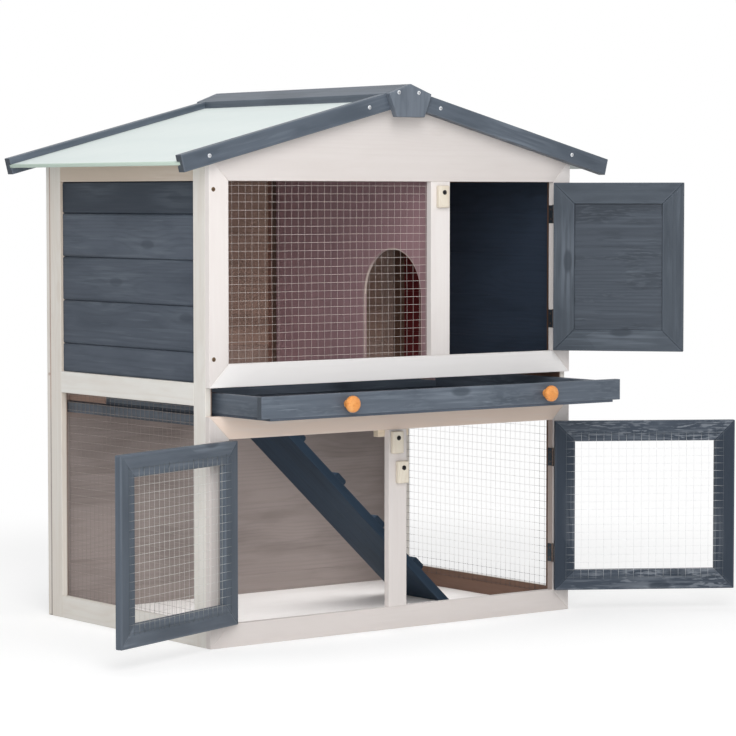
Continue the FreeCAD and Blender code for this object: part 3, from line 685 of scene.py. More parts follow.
class Workpiece:
    """Gathers worked parts into one mesh, with attributes that the finishes read.

    "grain" holds each point's place in its own board. "rim" is 1 on the arrises and 0 on the
    flats, "end" is 1 on end grain, "inside" is 1 on faces that take the colour of the rooms,
    which is partly bare wood and partly painted shade, and "tone" says how dark a board's coat
    came out, from 0 to nearly 3; its marks on the side's top rail and top board are painted
    shade of the eaves, and on the uprights of a mesh it is painted shade too.
    """

    flat_edge = 0.0004
    heart_sway = 0.4
    heart_depth = (0.008, 0.045)
    log_place = (2, 60)
    end_grain = 0.95
    cross_width = 0.1
    cross_reach = 0.7
    cross_depth = 0.3
    head_depth = 0.35

    def __init__(self, seed: int) -> None:
        """Starts an empty piece; the seed chooses its boards."""
        self.mesh = self.blank()
        self.dice = random.Random(seed)

    @staticmethod
    def blank() -> bmesh.types.BMesh:
        """Starts a mesh.

        Returns:
            An empty mesh with the attribute layers.
        """
        mesh = bmesh.new()
        mesh.verts.layers.float_vector.new("grain")
        for name in ("rim", "tone", "end", "inside"):
            mesh.verts.layers.float.new(name)
        return mesh

    @staticmethod
    def shift(part: bmesh.types.BMesh, made: dict[str, Any], way: Vector) -> None:
        """Moves the points that an operator has just made."""
        moved = [item for item in made["geom"] if isinstance(item, bmesh.types.BMVert)]
        bmesh.ops.translate(part, verts=moved, vec=way)

    def draw_out(self, part: bmesh.types.BMesh, faces: list[Any], way: Vector) -> None:
        """Extrudes faces of a part."""
        self.shift(part, bmesh.ops.extrude_face_region(part, geom=faces), way)

    def prism(
        self, outline: Sequence[Point], drawn: Axis, start: float, end: float, grain: Axis,
        arris: float = ARRIS, place: Matrix = IDENTITY, cuts: Sequence[Plane] = (),
        tone: float | None = None,
    ) -> None:
        """Adds a part with a straight section and eased edges.

        Args:
            outline: The corners of the section.
            drawn: The axis that the section is drawn along.
            start: Where the part starts on that axis.
            end: Where it ends.
            grain: The axis that the fibres run along.
            arris: The size of the eased edges.
            place: Where the part goes once it is worked.
            cuts: Planes that cut it, each with a point and a normal to the waste side.
            tone: How dark its coat came out; None leaves that to chance.
        """
        part = self.blank()
        corners = [part.verts.new(drawn.lift(point, start)) for point in outline]
        self.draw_out(part, [part.faces.new(corners)], drawn.unit * (end - start))
        for point, normal in cuts:
            self.saw(part, point, normal)
        bmesh.ops.recalc_face_normals(part, faces=part.faces)
        self.ease(part, arris)
        self.mark_grain(part, grain, tone)
        self.add(part, place)

    def board(self, low: Vector, high: Vector, grain: Axis, **options: Any) -> None:
        """Adds a board between two corners; the options are those of prism."""
        outline = ((low.x, low.y), (high.x, low.y), (high.x, high.y), (low.x, high.y))
        self.prism(outline, Axis.Z, low.z, high.z, grain, **options)

    @staticmethod
    def saw(part: bmesh.types.BMesh, point: Vector, normal: Vector) -> None:
        """Cuts a part with a plane, takes the waste away and closes the cut.

        Args:
            part: The part.
            point: A point of the plane.
            normal: The way to the waste side.
        """
        everything = list(part.verts) + list(part.edges) + list(part.faces)
        found = bmesh.ops.bisect_plane(
            part, geom=everything, plane_co=point, plane_no=normal, clear_outer=True
        )
        rim = [item for item in found["geom_cut"] if isinstance(item, bmesh.types.BMEdge)]
        bmesh.ops.edgeloop_fill(part, edges=rim)

    @staticmethod
    def bevel(part: bmesh.types.BMesh, edges: list[bmesh.types.BMEdge], size: float) -> None:
        """Rounds edges in two steps."""
        bmesh.ops.bevel(
            part, geom=edges, offset=size, offset_type="OFFSET", segments=2, profile=0.5,
            affect="EDGES", material=-1, clamp_overlap=True,
        )

    def ease(self, part: bmesh.types.BMesh, arris: float, rims: bool = True) -> None:
        """Rounds the sharp edges of a part and sets a narrow rim into each flat face.

        Args:
            part: The part.
            arris: The size of the rounding.
            rims: False leaves the flats whole, and the part free of rim wear and rim shade.
        """
        sharp = [edge for edge in part.edges if edge.calc_face_angle(0.0) > SHARP_EDGE]
        border = set(sharp)
        flats = [face.normal.copy() for face in part.faces if border.issuperset(face.edges)]
        self.bevel(part, sharp, arris)
        rim = part.verts.layers.float["rim"]
        for vert in part.verts:
            vert[rim] = 1.0 if rims else 0.0
        wide = []
        for face in part.faces:
            width = 2 * face.calc_area() / face.calc_perimeter()
            if width > 3 * arris and any(face.normal.dot(normal) > 0.9999 for normal in flats):
                wide.append((face, width))
        for face, width in wide:
            for edge in face.edges:
                edge.smooth = edge.calc_face_angle(0.0) < FLAT_BORDER
            if rims and len(face.verts) != 8:
                bmesh.ops.inset_individual(
                    part, faces=[face], thickness=min(RIM, width * 0.3), use_even_offset=True
                )
                for vert in face.verts:
                    vert[rim] = 0.0

    def mark_grain(
        self, part: bmesh.types.BMesh, grain: Axis, tone: float | None = None
    ) -> None:
        """Writes a part's place in its log: along the fibres, across them and through it.

        Args:
            part: The part.
            grain: The axis that the fibres run along.
            tone: How dark its coat came out; None leaves that to chance.
        """
        points = [vert.co for vert in part.verts]
        low, high = (
            Vector([pick(point[index] for point in points) for index in range(3)])
            for pick in (min, max)
        )
        span = high - low
        through, across = sorted(
            (axis for axis in Axis if axis is not grain), key=lambda axis: span[axis.value]
        )
        sway = self.dice.uniform(-self.heart_sway, self.heart_sway)
        heart = (low + high) / 2
        heart += across.unit * span[across.value] * sway
        depth = span[through.value] / 2 + self.dice.uniform(*self.heart_depth)
        heart += through.unit * depth * self.dice.choice((-1, 1))
        slide = self.dice.uniform(*self.log_place)
        chance = self.dice.random()
        layers = part.verts.layers
        for vert in part.verts:
            offset = vert.co - heart
            vert[layers.float_vector["grain"]] = (
                offset[grain.value] + slide, offset[across.value], offset[through.value]
            )
            vert[layers.float["tone"]] = chance if tone is None else tone
        for face in part.faces:
            if abs(face.normal[grain.value]) > self.end_grain:
                for vert in face.verts:
                    vert[layers.float["end"]] = 1.0

    def add(self, part: bmesh.types.BMesh, place: Matrix = IDENTITY) -> None:
        """Puts a finished part in its place and joins it to the piece.

        Args:
            part: The part, which is used up.
            place: Where it goes.
        """
        part.transform(place)
        if place.determinant() < 0:
            bmesh.ops.reverse_faces(part, faces=part.faces)
        for face in part.faces:
            face.smooth = True
        for edge in part.edges:
            edge.smooth = edge.smooth and edge.calc_face_angle(0.0) < CREASE
        sheet = bpy.data.meshes.new("part")
        part.to_mesh(sheet)
        part.free()
        self.mesh.from_mesh(sheet)
        bpy.data.meshes.remove(sheet)

    def mark(self, name: str, value: float, test: Callable[[Vector], bool]) -> None:
        """Sets an attribute at some points of the piece.

        Args:
            name: The attribute.
            value: Its new value.
            test: Says of a point's place whether it is one of them.
        """
        layer = self.mesh.verts.layers.float[name]
        for vert in self.mesh.verts:
            if test(vert.co):
                vert[layer] = value

    @staticmethod
    def bar(
        part: bmesh.types.BMesh, start: Vector, end: Vector, radius: float, sides: int
    ) -> list[bmesh.types.BMVert]:
        """Makes a straight round bar in a part.

        Args:
            part: The part.
            start: The middle of one end.
            end: The middle of the other end.
            radius: The bar's radius.
            sides: How many faces go round.

        Returns:
            The bar's points.
        """
        line = end - start
        turn = line.to_track_quat("Z", "Y").to_matrix().to_4x4()
        return bmesh.ops.create_cone(
            part, cap_ends=True, cap_tris=False, segments=sides, radius1=radius, radius2=radius,
            depth=line.length, matrix=Matrix.Translation((start + end) / 2) @ turn,
        )["verts"]

    def rod(
        self, start: Vector, end: Vector, radius: float, sides: int = 20, arris: float = 0.0,
        rim: float = 0.0,
    ) -> None:
        """Adds a straight round rod.

        Args:
            start: The middle of one end.
            end: The middle of the other end.
            radius: The rod's radius.
            sides: How many faces go round.
            arris: The size of the eased ends; none leaves them sharp.
            rim: The value of the attribute of that name.
        """
        part = self.blank()
        self.bar(part, start, end, radius, sides)
        if arris:
            ends = [edge for edge in part.edges if edge.calc_face_angle(0.0) > CREASE]
            self.bevel(part, ends, arris)
        layer = part.verts.layers.float["rim"]
        for vert in part.verts:
            vert[layer] = rim
        self.add(part)

    def turned(self, profile: Sequence[Point], place: Matrix, steps: int = 32) -> None:
        """Adds a part turned on the lathe.

        Args:
            profile: Points as radius and height, from the bottom up.
            place: Where the part's own +Z axis goes.
            steps: How many faces go round.
        """
        part = self.blank()
        points = [part.verts.new((radius, 0.0, height)) for radius, height in profile]
        edges = [part.edges.new(pair) for pair in zip(points, points[1:])]
        bmesh.ops.spin(
            part, geom=points + edges, cent=(0, 0, 0), axis=(0, 0, 1), dvec=(0, 0, 0),
            angle=2 * math.pi, steps=steps, use_merge=True, use_duplicate=False,
        )
        bmesh.ops.remove_doubles(part, verts=part.verts, dist=1e-6)
        bmesh.ops.recalc_face_normals(part, faces=part.faces)
        self.add(part, place)

    def holed_panel(
        self, across: Sequence[float], deep: Sequence[float], low: float, high: float
    ) -> None:
        """Adds a thin level panel with a square hole.

        Args:
            across: The panel's left edge, the hole's two and the panel's right edge.
            deep: The same from the front to the back.
            low: The height of its underside.
            high: The height of its top.
        """
        part = self.blank()
        bmesh.ops.create_grid(part, x_segments=3, y_segments=3, size=1.5)
        hole = [face for face in part.faces if face.calc_center_median().length < 0.5]
        bmesh.ops.delete(part, geom=hole, context="FACES_ONLY")
        for vert in part.verts:
            vert.co = (across[round(vert.co.x + 1.5)], deep[round(vert.co.y + 1.5)], low)
        self.draw_out(part, list(part.faces), Vector((0, 0, high - low)))
        bmesh.ops.recalc_face_normals(part, faces=part.faces)
        self.ease(part, self.flat_edge, rims=False)
        self.mark_grain(part, Axis.X)
        self.add(part)

    def cross_head(self, place: Matrix, radius: float, dome: float, skirt: float) -> None:
        """Adds a screw head with a cross recess.

        Args:
            place: Where the head's rim and its outward +Z axis go.
            radius: The head's radius.
            dome: How far its middle stands above its rim.
            skirt: How far its side goes down from the rim.
        """
        part = self.blank()
        bmesh.ops.create_grid(part, x_segments=7, y_segments=7, size=1.0)
        cross = []
        for face in part.faces:
            near, far = sorted(abs(value) for value in face.calc_center_median().xy)
            if near < self.cross_width and far < self.cross_reach:
                cross.append(face)
        for vert in part.verts:
            reach = max(abs(vert.co.x), abs(vert.co.y))
            spot = vert.co.xy.normalized() * reach * radius
            vert.co = (spot.x, spot.y, dome * (1 - reach * reach))
        self.draw_out(part, cross, Vector((0, 0, -self.cross_depth * radius)))
        rim = [edge for edge in part.edges if edge.is_boundary]
        side = bmesh.ops.extrude_edge_only(part, edges=rim)
        self.shift(part, side, Vector((0, 0, -skirt - self.head_depth * radius)))
        bmesh.ops.edgeloop_fill(part, edges=[edge for edge in part.edges if edge.is_boundary])
        bmesh.ops.recalc_face_normals(part, faces=part.faces)
        self.add(part, place)

    def finish(self, node: str, finish: Finish, body: str = BODY) -> bpy.types.Object:
        """Makes the piece's object, dresses it and lets it ride on its body.

        Args:
            node: The frame's node that it stands for, which it is named after.
            finish: What it is finished with.
            body: The body that it moves with.

        Returns:
            The new object.
        """
        name = f"{node}_{finish.stuff}"
        sheet = bpy.data.meshes.new(name)
        self.mesh.to_mesh(sheet)
        self.mesh.free()
        sheet.materials.append(material_of(finish))
        made = bpy.data.objects.new(name, sheet)
        bpy.context.scene.collection.objects.link(made)
        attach(made, body)
        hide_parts(node)
        return made


def plank(
    node: str, seed: int, grain: Axis, finish: Finish, body: str = BODY, arris: float = ARRIS
) -> bpy.types.Object:
    """Makes a piece that is one board and fills the box of its node.

    Args:
        node: The frame's node.
        seed: The seed of the board.
        grain: The axis that the fibres run along.
        finish: What it is finished with.
        body: The body that it moves with.
        arris: The size of its eased edges.

    Returns:
        The new object.
    """
    piece = Workpiece(seed)
    piece.board(*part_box(node), grain, arris=arris)
    return piece.finish(node, finish, body)


@dataclass
class WeldedMesh:
    """A cut sheet of welded wire, stapled to the inner face of a frame.

    Its own frame has the sheet in the XZ plane, with the timber on the -Y side of y = 0.
    """

    low: Point
    high: Point
    seed: int
    bow: float = 0.0016
    # How far in from the edges the wires take the daub colour: paint on the door meshes, painted
    # shade on the right side's mesh.
    daub_and_shade_margin: float = 0.0
    staple_daub_and_shade: float = 0.0
    wire_daub_and_shade: float = 0.9
    pitch: float = 0.0127
    wire: float = 0.00022
    sink: float = 0.00012
    waver: float = 0.0005
    drift_pitch: float = 9.0
    wobble_pitch: float = 21.0
    wobble_share: float = 0.6
    mean_bow: float = 0.6
    staple_step: float = 0.062
    staple_inset: float = 0.0055
    staple_length: float = 0.0065
    staple_depth: float = 0.001
    staple_wire: float = 0.0003
    wire_sides: int = 6
    wire_bends: int = 13

    def lines(self, low: float, high: float) -> list[float]:
        """Spaces the parallel wires between two cut edges.

        Args:
            low: The place of one edge.
            high: The place of the other.

        Returns:
            The places of the wires.
        """
        room = high - low - 2 * self.wire
        count = int(room / self.pitch)
        start = (low + high - count * self.pitch) / 2
        return [start + index * self.pitch for index in range(count + 1)]

    def shifted(self, point: Vector) -> Vector:
        """Finds how far the sheet has wandered from flat and square.

        Args:
            point: A point of the flat sheet.

        Returns:
            The way to its real place.
        """
        across = (point.x - self.low[0]) / (self.high[0] - self.low[0])
        up = (point.z - self.low[1]) / (self.high[1] - self.low[1])
        swell = max(0.0, math.sin(math.pi * across) * math.sin(math.pi * up))
        drift, wobble = (
            noise.noise_vector(Vector((point.x * pitch, self.seed + layer, point.z * pitch)))
            for pitch, layer in ((self.drift_pitch, 0), (self.wobble_pitch, 7))
        )
        return Vector((
            (drift.x + wobble.x * self.wobble_share) * self.waver,
            max(0.0, self.bow * swell * (self.mean_bow + drift.y)),
            (drift.z + wobble.z * self.wobble_share) * self.waver,
        ))

    def weave(self, piece: Workpiece, place: Matrix) -> None:
        """Adds the wires, uprights against the timber and cross wires behind them.

        Args:
            piece: The piece that they join.
            place: Where the sheet goes.
        """
        part = piece.blank()
        deep = 3 * self.wire - self.sink
        (left, foot), (right, head) = self.low, self.high
        runs = [((x, self.wire, foot), (x, self.wire, head)) for x in self.lines(left, right)]
        runs += [((left, deep, z), (right, deep, z)) for z in self.lines(foot, head)]
        tone, rim = (part.verts.layers.float[name] for name in ("tone", "rim"))
        for start, end in runs:
            # Uprights get tone 1, which their finish shows as painted shade.
            upright = 1.0 if start[0] == end[0] else 0.0
            ends = Vector(start), Vector(end)
            for vert in piece.bar(part, *ends, self.wire, self.wire_sides):
                vert[tone] = upright
        long_edges = [edge for edge in part.edges if edge.calc_length() > self.pitch]
        bmesh.ops.subdivide_edges(part, edges=long_edges, cuts=self.wire_bends)
        # Unseeded, the noise starts from the clock and differs from run to run.
        noise.seed_set(self.seed)
        for vert in part.verts:
            x, z = vert.co.x, vert.co.z
            margin = min(x - left, right - x, z - foot, head - z)
            # The margin takes the daub colour: paint on the doors, painted shade on the right side.
            vert[rim] = self.wire_daub_and_shade if margin < self.daub_and_shade_margin else 0.0
            vert.co += self.shifted(vert.co)
        piece.add(part, place)

    def staple(self, piece: Workpiece, place: Matrix) -> None:
        """Adds the staples round the sheet, each a little askew.

        Args:
            piece: The piece that they join.
            place: Where the sheet goes.
        """
        inset = self.staple_inset
        left, right = self.low[0] + inset, self.high[0] - inset
        foot, head = self.low[1] + inset, self.high[1] - inset
        spots = []
        for low, high, fixed, upright in (
            (left, right, foot, False), (left, right, head, False),
            (foot, head, left, True), (foot, head, right, True),
        ):
            count = max(2, round((high - low) / self.staple_step))
            for index in range(count):
                level = low + (high - low) * (index + 0.5) / count
                spots.append((fixed, level, upright) if upright else (level, fixed, upright))
        for x, z, upright in spots:
            turn = piece.dice.uniform(-0.5, 0.5) + (0.0 if upright else math.pi / 2)
            reach = Vector((math.cos(turn), 0, math.sin(turn))) * self.staple_length / 2
            middle = Vector((x, 4 * self.wire, z))
            first, last = middle - reach, middle + reach
            for start, end in (
                (first, last), (first, Vector((first.x, -self.staple_depth, first.z))),
                (last, Vector((last.x, -self.staple_depth, last.z))),
            ):
                piece.rod(
                    place @ start, place @ end, self.staple_wire, self.wire_sides,
                    rim=self.staple_daub_and_shade,
                )

    def fit(self, seed: int, place: Matrix) -> Workpiece:
        """Makes the sheet with its staples.

        Args:
            seed: The seed of the staples' turns.
            place: Where the sheet goes.

        Returns:
            The piece.
        """
        piece = Workpiece(seed)
        self.weave(piece, place)
        self.staple(piece, place)
        return piece


# The hutch


class Assembly:
    """A sub-assembly that makes its pieces and hands them over."""

    def build(self) -> Pieces:
        """Makes the pieces, one after another."""
        raise NotImplementedError


@dataclass(frozen=True)
class Levels:
    """Planes of the hutch, as the frame has them."""

    half_width: float
    jamb: float
    front: float
    front_inner: float
    lower_head: float
    upper_base: float
    upper_sill: float
    gable_foot: float
    eaves: float

    @classmethod
    def from_frame(cls) -> "Levels":
        """Reads the planes from the nodes of the frame.

        Returns:
            The planes.
        """
        stile_low, stile_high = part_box("front_upper_left_stile")
        rail_low, rail_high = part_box("front_upper_bottom_rail")
        return cls(
            half_width=-stile_low.x,
            jamb=-stile_high.x,
            front=stile_low.y,
            front_inner=stile_high.y,
            lower_head=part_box("front_lower_mid_post")[1].z,
            upper_base=rail_low.z,
            upper_sill=rail_high.z,
            gable_foot=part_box("front_gable_board")[0].z,
            eaves=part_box("left_side_frame")[1].z,
        )

    @property
    def member(self) -> float:
        """Returns the width of a frame member."""
        return self.half_width - self.jamb

    @property
    def ridge(self) -> float:
        """Returns the height of the roof's underside in the middle."""
        return self.eaves + self.half_width * math.tan(ROOF_PITCH)

    @property
    def gable(self) -> list[Point]:
        """Returns the outline of a gable board."""
        wide, jamb, foot = self.half_width, self.jamb, self.gable_foot
        return [
            (-jamb, foot), (jamb, foot), (wide, self.eaves), (0, self.ridge), (-wide, self.eaves),
        ]

    def upper_members(self) -> dict[str, list[Point]]:
        """Lays out the members under a gable board.

        Returns:
            Their outlines by name.
        """
        wide, jamb, base, sill = self.half_width, self.jamb, self.upper_base, self.upper_sill
        stile = [(-wide, base), (-jamb, sill), (-jamb, self.gable_foot), (-wide, self.eaves)]
        return {
            "left_stile": stile,
            "right_stile": [(-x, z) for x, z in reversed(stile)],
            "bottom_rail": [(-wide, base), (wide, base), (jamb, sill), (-jamb, sill)],
        }


@dataclass(frozen=True)
class MitredFrame:
    """Four members that meet in mitres, in an upright plane that faces the front."""

    left: float
    right: float
    low: float
    high: float
    member: float

    def members(self) -> dict[str, list[Point]]:
        """Lays out the members.

        Returns:
            Their outlines by name.
        """
        left, right, low, high = self.left, self.right, self.low, self.high
        near, far = left + self.member, right - self.member
        foot, head = low + self.member, high - self.member
        return {
            "left_stile": [(left, low), (near, foot), (near, head), (left, high)],
            "right_stile": [(right, low), (right, high), (far, head), (far, foot)],
            "bottom_rail": [(left, low), (right, low), (far, foot), (near, foot)],
            "top_rail": [(left, high), (near, head), (far, head), (right, high)],
        }


def grain_of(member: str) -> Axis:
    """Returns the axis that the fibres of a frame member follow."""
    return Axis.Z if member.endswith("stile") else Axis.X


@dataclass
class MatchedBoards:
    """A stack of level boards with a bevelled joint on the face and a fine gap behind it."""

    face: float
    back: float
    marks: Sequence[float]
    chamfer: float = 0.0016
    gap: float = 0.0007
    arris: float = 0.0003

    @staticmethod
    def levels(low: float, high: float, first: float, pitch: float = 0.071) -> list[float]:
        """Divides a stack into boards.

        Args:
            low: The height of its foot.
            high: The height of its head.
            first: The height of its lowest board.
            pitch: The height of the others; the last one is what is left.

        Returns:
            The heights of the joints, with both ends.
        """
        least = 0.008
        marks = [low]
        level = low + first
        while level < high - least:
            marks.append(level)
            level += pitch
        return marks + [high]

    def lay(
        self, piece: Workpiece, drawn: Axis, start: float, end: float, place: Matrix = IDENTITY
    ) -> None:
        """Adds the boards, with their grain along their length.

        Args:
            piece: The piece that they join.
            drawn: The axis of their length.
            start: Where they start on it.
            end: Where they end.
            place: Where they go once they are worked.
        """
        inner = self.face + math.copysign(self.chamfer, self.back - self.face)
        middle = (self.face + self.back) / 2
        for low, high in zip(self.marks, self.marks[1:]):
            top = high - self.gap
            section = [
                (self.back, low), (inner, low), (self.face, low + self.chamfer),
                (self.face, top - self.chamfer), (inner, top), (middle, top), (middle, high),
                (self.back, high),
            ]
            piece.prism(section, drawn, start, end, drawn, arris=self.arris, place=place)


@dataclass
class Front(Assembly):
    """The two framed panels of the front and the uprights between their openings."""

    levels: Levels
    shaded_reveal: float = 0.75

    @staticmethod
    def wash(node: str) -> BrushedPine:
        """Returns the whitewash of a member; some take copies with painted light and shade: lighter
        on the sill rail above the tray, warm on the rail under it, darker on the gable board and
        the lower frame.
        """
        if node in ("front_lower_top_rail", "front_upper_bottom_rail"):
            return TRAY_SHADE_WASH if "lower" in node else SILL_LIGHT_WASH
        return SHADED_WASH if "lower" in node or node == "front_gable_board" else WHITEWASH

    def build(self) -> Pieces:
        """Makes each member of both panels, the uprights and the cleat.

        Returns:
            The pieces, one after another.
        """
        lv = self.levels
        wide, head = lv.half_width, lv.lower_head + lv.member
        members = {f"front_upper_{name}": outline for name, outline in lv.upper_members().items()}
        members["front_gable_board"] = lv.gable
        for name, outline in MitredFrame(-wide, wide, 0.0, head, lv.member).members().items():
            members[f"front_lower_{name}"] = outline
        for index, (node, outline) in enumerate(members.items()):
            piece = Workpiece(11 + index)
            piece.prism(outline, Axis.Y, lv.front, lv.front_inner, grain_of(node))
            if node == "front_lower_right_stile":
                piece.mark("inside", self.shaded_reveal, lambda at: at.x < lv.jamb + ARRIS / 2)
            yield piece.finish(node, self.wash(node))
        for index, node in enumerate(("front_upper_mid_stile", "front_lower_mid_post")):
            yield plank(node, 31 + index, Axis.Z, self.wash(node))
        yield plank("mid_post_cleat", 35, Axis.X, BARE_PINE)


@dataclass
class Back(Assembly):
    """The back panel, which the photograph does not show, framed like the front."""

    levels: Levels
    first_board: float = 0.053
    skin: float = 0.0001

    def build(self) -> Pieces:
        """Makes the frame, the gable board and both fields of boards.

        Returns:
            The pieces, one after another.
        """
        lv = self.levels
        wide, inner, outer = lv.half_width, -lv.front_inner, -lv.front
        lower = MitredFrame(-wide, wide, 0.0, lv.upper_base, lv.member)
        framed = [*lv.upper_members().items(), *lower.members().items()]
        for node, seed, members in (
            ("back_frame", 41, framed), ("back_gable_board", 45, [("gable_board", lv.gable)])
        ):
            piece = Workpiece(seed)
            for member, outline in members:
                piece.prism(outline, Axis.Y, inner, outer, grain_of(member))
            # Room faces take the darker colour of the rooms, partly painted shade.
            piece.mark("inside", 1.0, lambda at: at.y < inner + ARRIS)
            yield piece.finish(node, BACK_WASH)
        for index, node in enumerate(("back_upper_boards", "back_lower_boards")):
            low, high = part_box(node)
            piece = Workpiece(47 + index)
            marks = MatchedBoards.levels(low.z, high.z, self.first_board)
            MatchedBoards(high.y, low.y, marks).lay(piece, Axis.X, low.x, high.x)
            # Room faces take the darker colour of the rooms, partly painted shade.
            piece.mark("inside", 1.0, lambda at: at.y < low.y + self.skin)
            yield piece.finish(node, BACK_BOARDS)


@dataclass
class SidePanel(Assembly):
    """One side: stiles, rails, matched boards above, welded mesh below and the tray's runner."""

    levels: Levels
    hand: Hand
    stile_width: float = 0.032
    mid_rail: float = 0.035
    first_board: float = 0.047
    rail_shade: float = 2.6
    board_shade: float = 2.7
    # The right side's mesh is darkened along its margin and at its staples: painted shade.
    daub_and_shade_margin: float = 0.03
    staple_daub_and_shade: float = 0.9

    @property
    def place(self) -> Matrix:
        """Returns the mirroring that takes a part of the left side to this one."""
        return Matrix.Scale(-self.hand.value, 4, Axis.X.unit)

    def timber(self, seed: int, inner: float) -> Workpiece:
        """Makes the stiles and rails.

        Args:
            seed: The seed of the boards.
            inner: How far from the middle the face of the rooms is.

        Returns:
            The piece.
        """
        lv, piece = self.levels, Workpiece(seed)
        out, inside = (corner.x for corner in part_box("left_side_frame"))
        near, stile = lv.front_inner, lv.front_inner + self.stile_width
        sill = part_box("left_side_boards")[0].z
        for grain, front, back, foot, head in (
            (Axis.Z, near, stile, 0.0, lv.eaves),
            (Axis.Z, -stile, -near, 0.0, lv.eaves),
            (Axis.Y, stile, -stile, 0.0, lv.member),
            (Axis.Y, stile, -stile, sill - self.mid_rail, sill),
            (Axis.Y, stile, -stile, lv.gable_foot, lv.eaves),
        ):
            low, high = Vector((out, front, foot)), Vector((inside, back, head))
            piece.board(low, high, grain, place=self.place)
        head = lv.gable_foot - ARRIS
        # Painted shade of the eaves: the top rail between the stiles is darkened.
        piece.mark("tone", self.rail_shade, lambda at: at.z > head and abs(at.y) < -stile)
        # Room faces take a dark brown, partly painted shade.
        piece.mark("inside", 1.0, lambda at: abs(at.x) < inner)
        return piece

    def boards(self, seed: int, inner: float) -> Workpiece:
        """Makes the matched boards.

        Args:
            seed: The seed of the boards.
            inner: How far from the middle the face of the rooms is.

        Returns:
            The piece.
        """
        low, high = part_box("left_side_boards")
        piece = Workpiece(seed)
        marks = MatchedBoards.levels(low.z, high.z, self.first_board)
        MatchedBoards(low.x, high.x, marks).lay(piece, Axis.Y, low.y, high.y, self.place)
        # Room faces take a dark navy and, further back, a maroon: painted shade.
        piece.mark("inside", 1.0, lambda at: abs(at.x) < inner)
        # Painted shade of the eaves: the top board is darkened.
        piece.mark("tone", self.board_shade, lambda at: at.z > marks[-2])
        return piece

    def netting(self, seed: int) -> Workpiece:
        """Makes the mesh; on the right-hand side its margin and staples take a very dark brown,
        painted shade of their shadows on the timber.

        Args:
            seed: The seed of the side.

        Returns:
            The piece.
        """
        low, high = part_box("left_side_mesh")
        wires = WeldedMesh((low.y, low.z), (high.y, high.z), seed)
        if self.hand is Hand.RIGHT:
            wires.daub_and_shade_margin, wires.staple_daub_and_shade = self.daub_and_shade_margin, self.staple_daub_and_shade
        turn = Matrix.Rotation(-math.pi / 2, 4, "Z")
        return wires.fit(seed + 2, self.place @ Matrix.Translation((low.x, 0, 0)) @ turn)

    def build(self) -> Pieces:
        """Makes the pieces of the left side and mirrors them for the right.

        Returns:
            The pieces, one after another.
        """
        side = self.hand.name.lower()
        seed = 60 + self.hand.value * 5
        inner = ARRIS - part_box("left_side_frame")[1].x
        yield self.timber(seed, inner).finish(f"{side}_side_frame", SIDE_WASH)
        yield self.boards(seed + 1, inner).finish(f"{side}_side_boards", BOARD_PAINT)
        # The left mesh takes a darker copy of the wire, the right one a lighter copy: painted shade
        # and painted light.
        wire = SHADED_SIDE_WIRE if self.hand is Hand.LEFT else LIT_SIDE_WIRE
        yield self.netting(seed).finish(f"{side}_side_mesh", wire)
        runner = Workpiece(seed + 3)
        runner.board(*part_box("left_tray_runner"), Axis.Y, place=self.place)
        yield runner.finish(f"{side}_tray_runner", PANEL_PAINT)


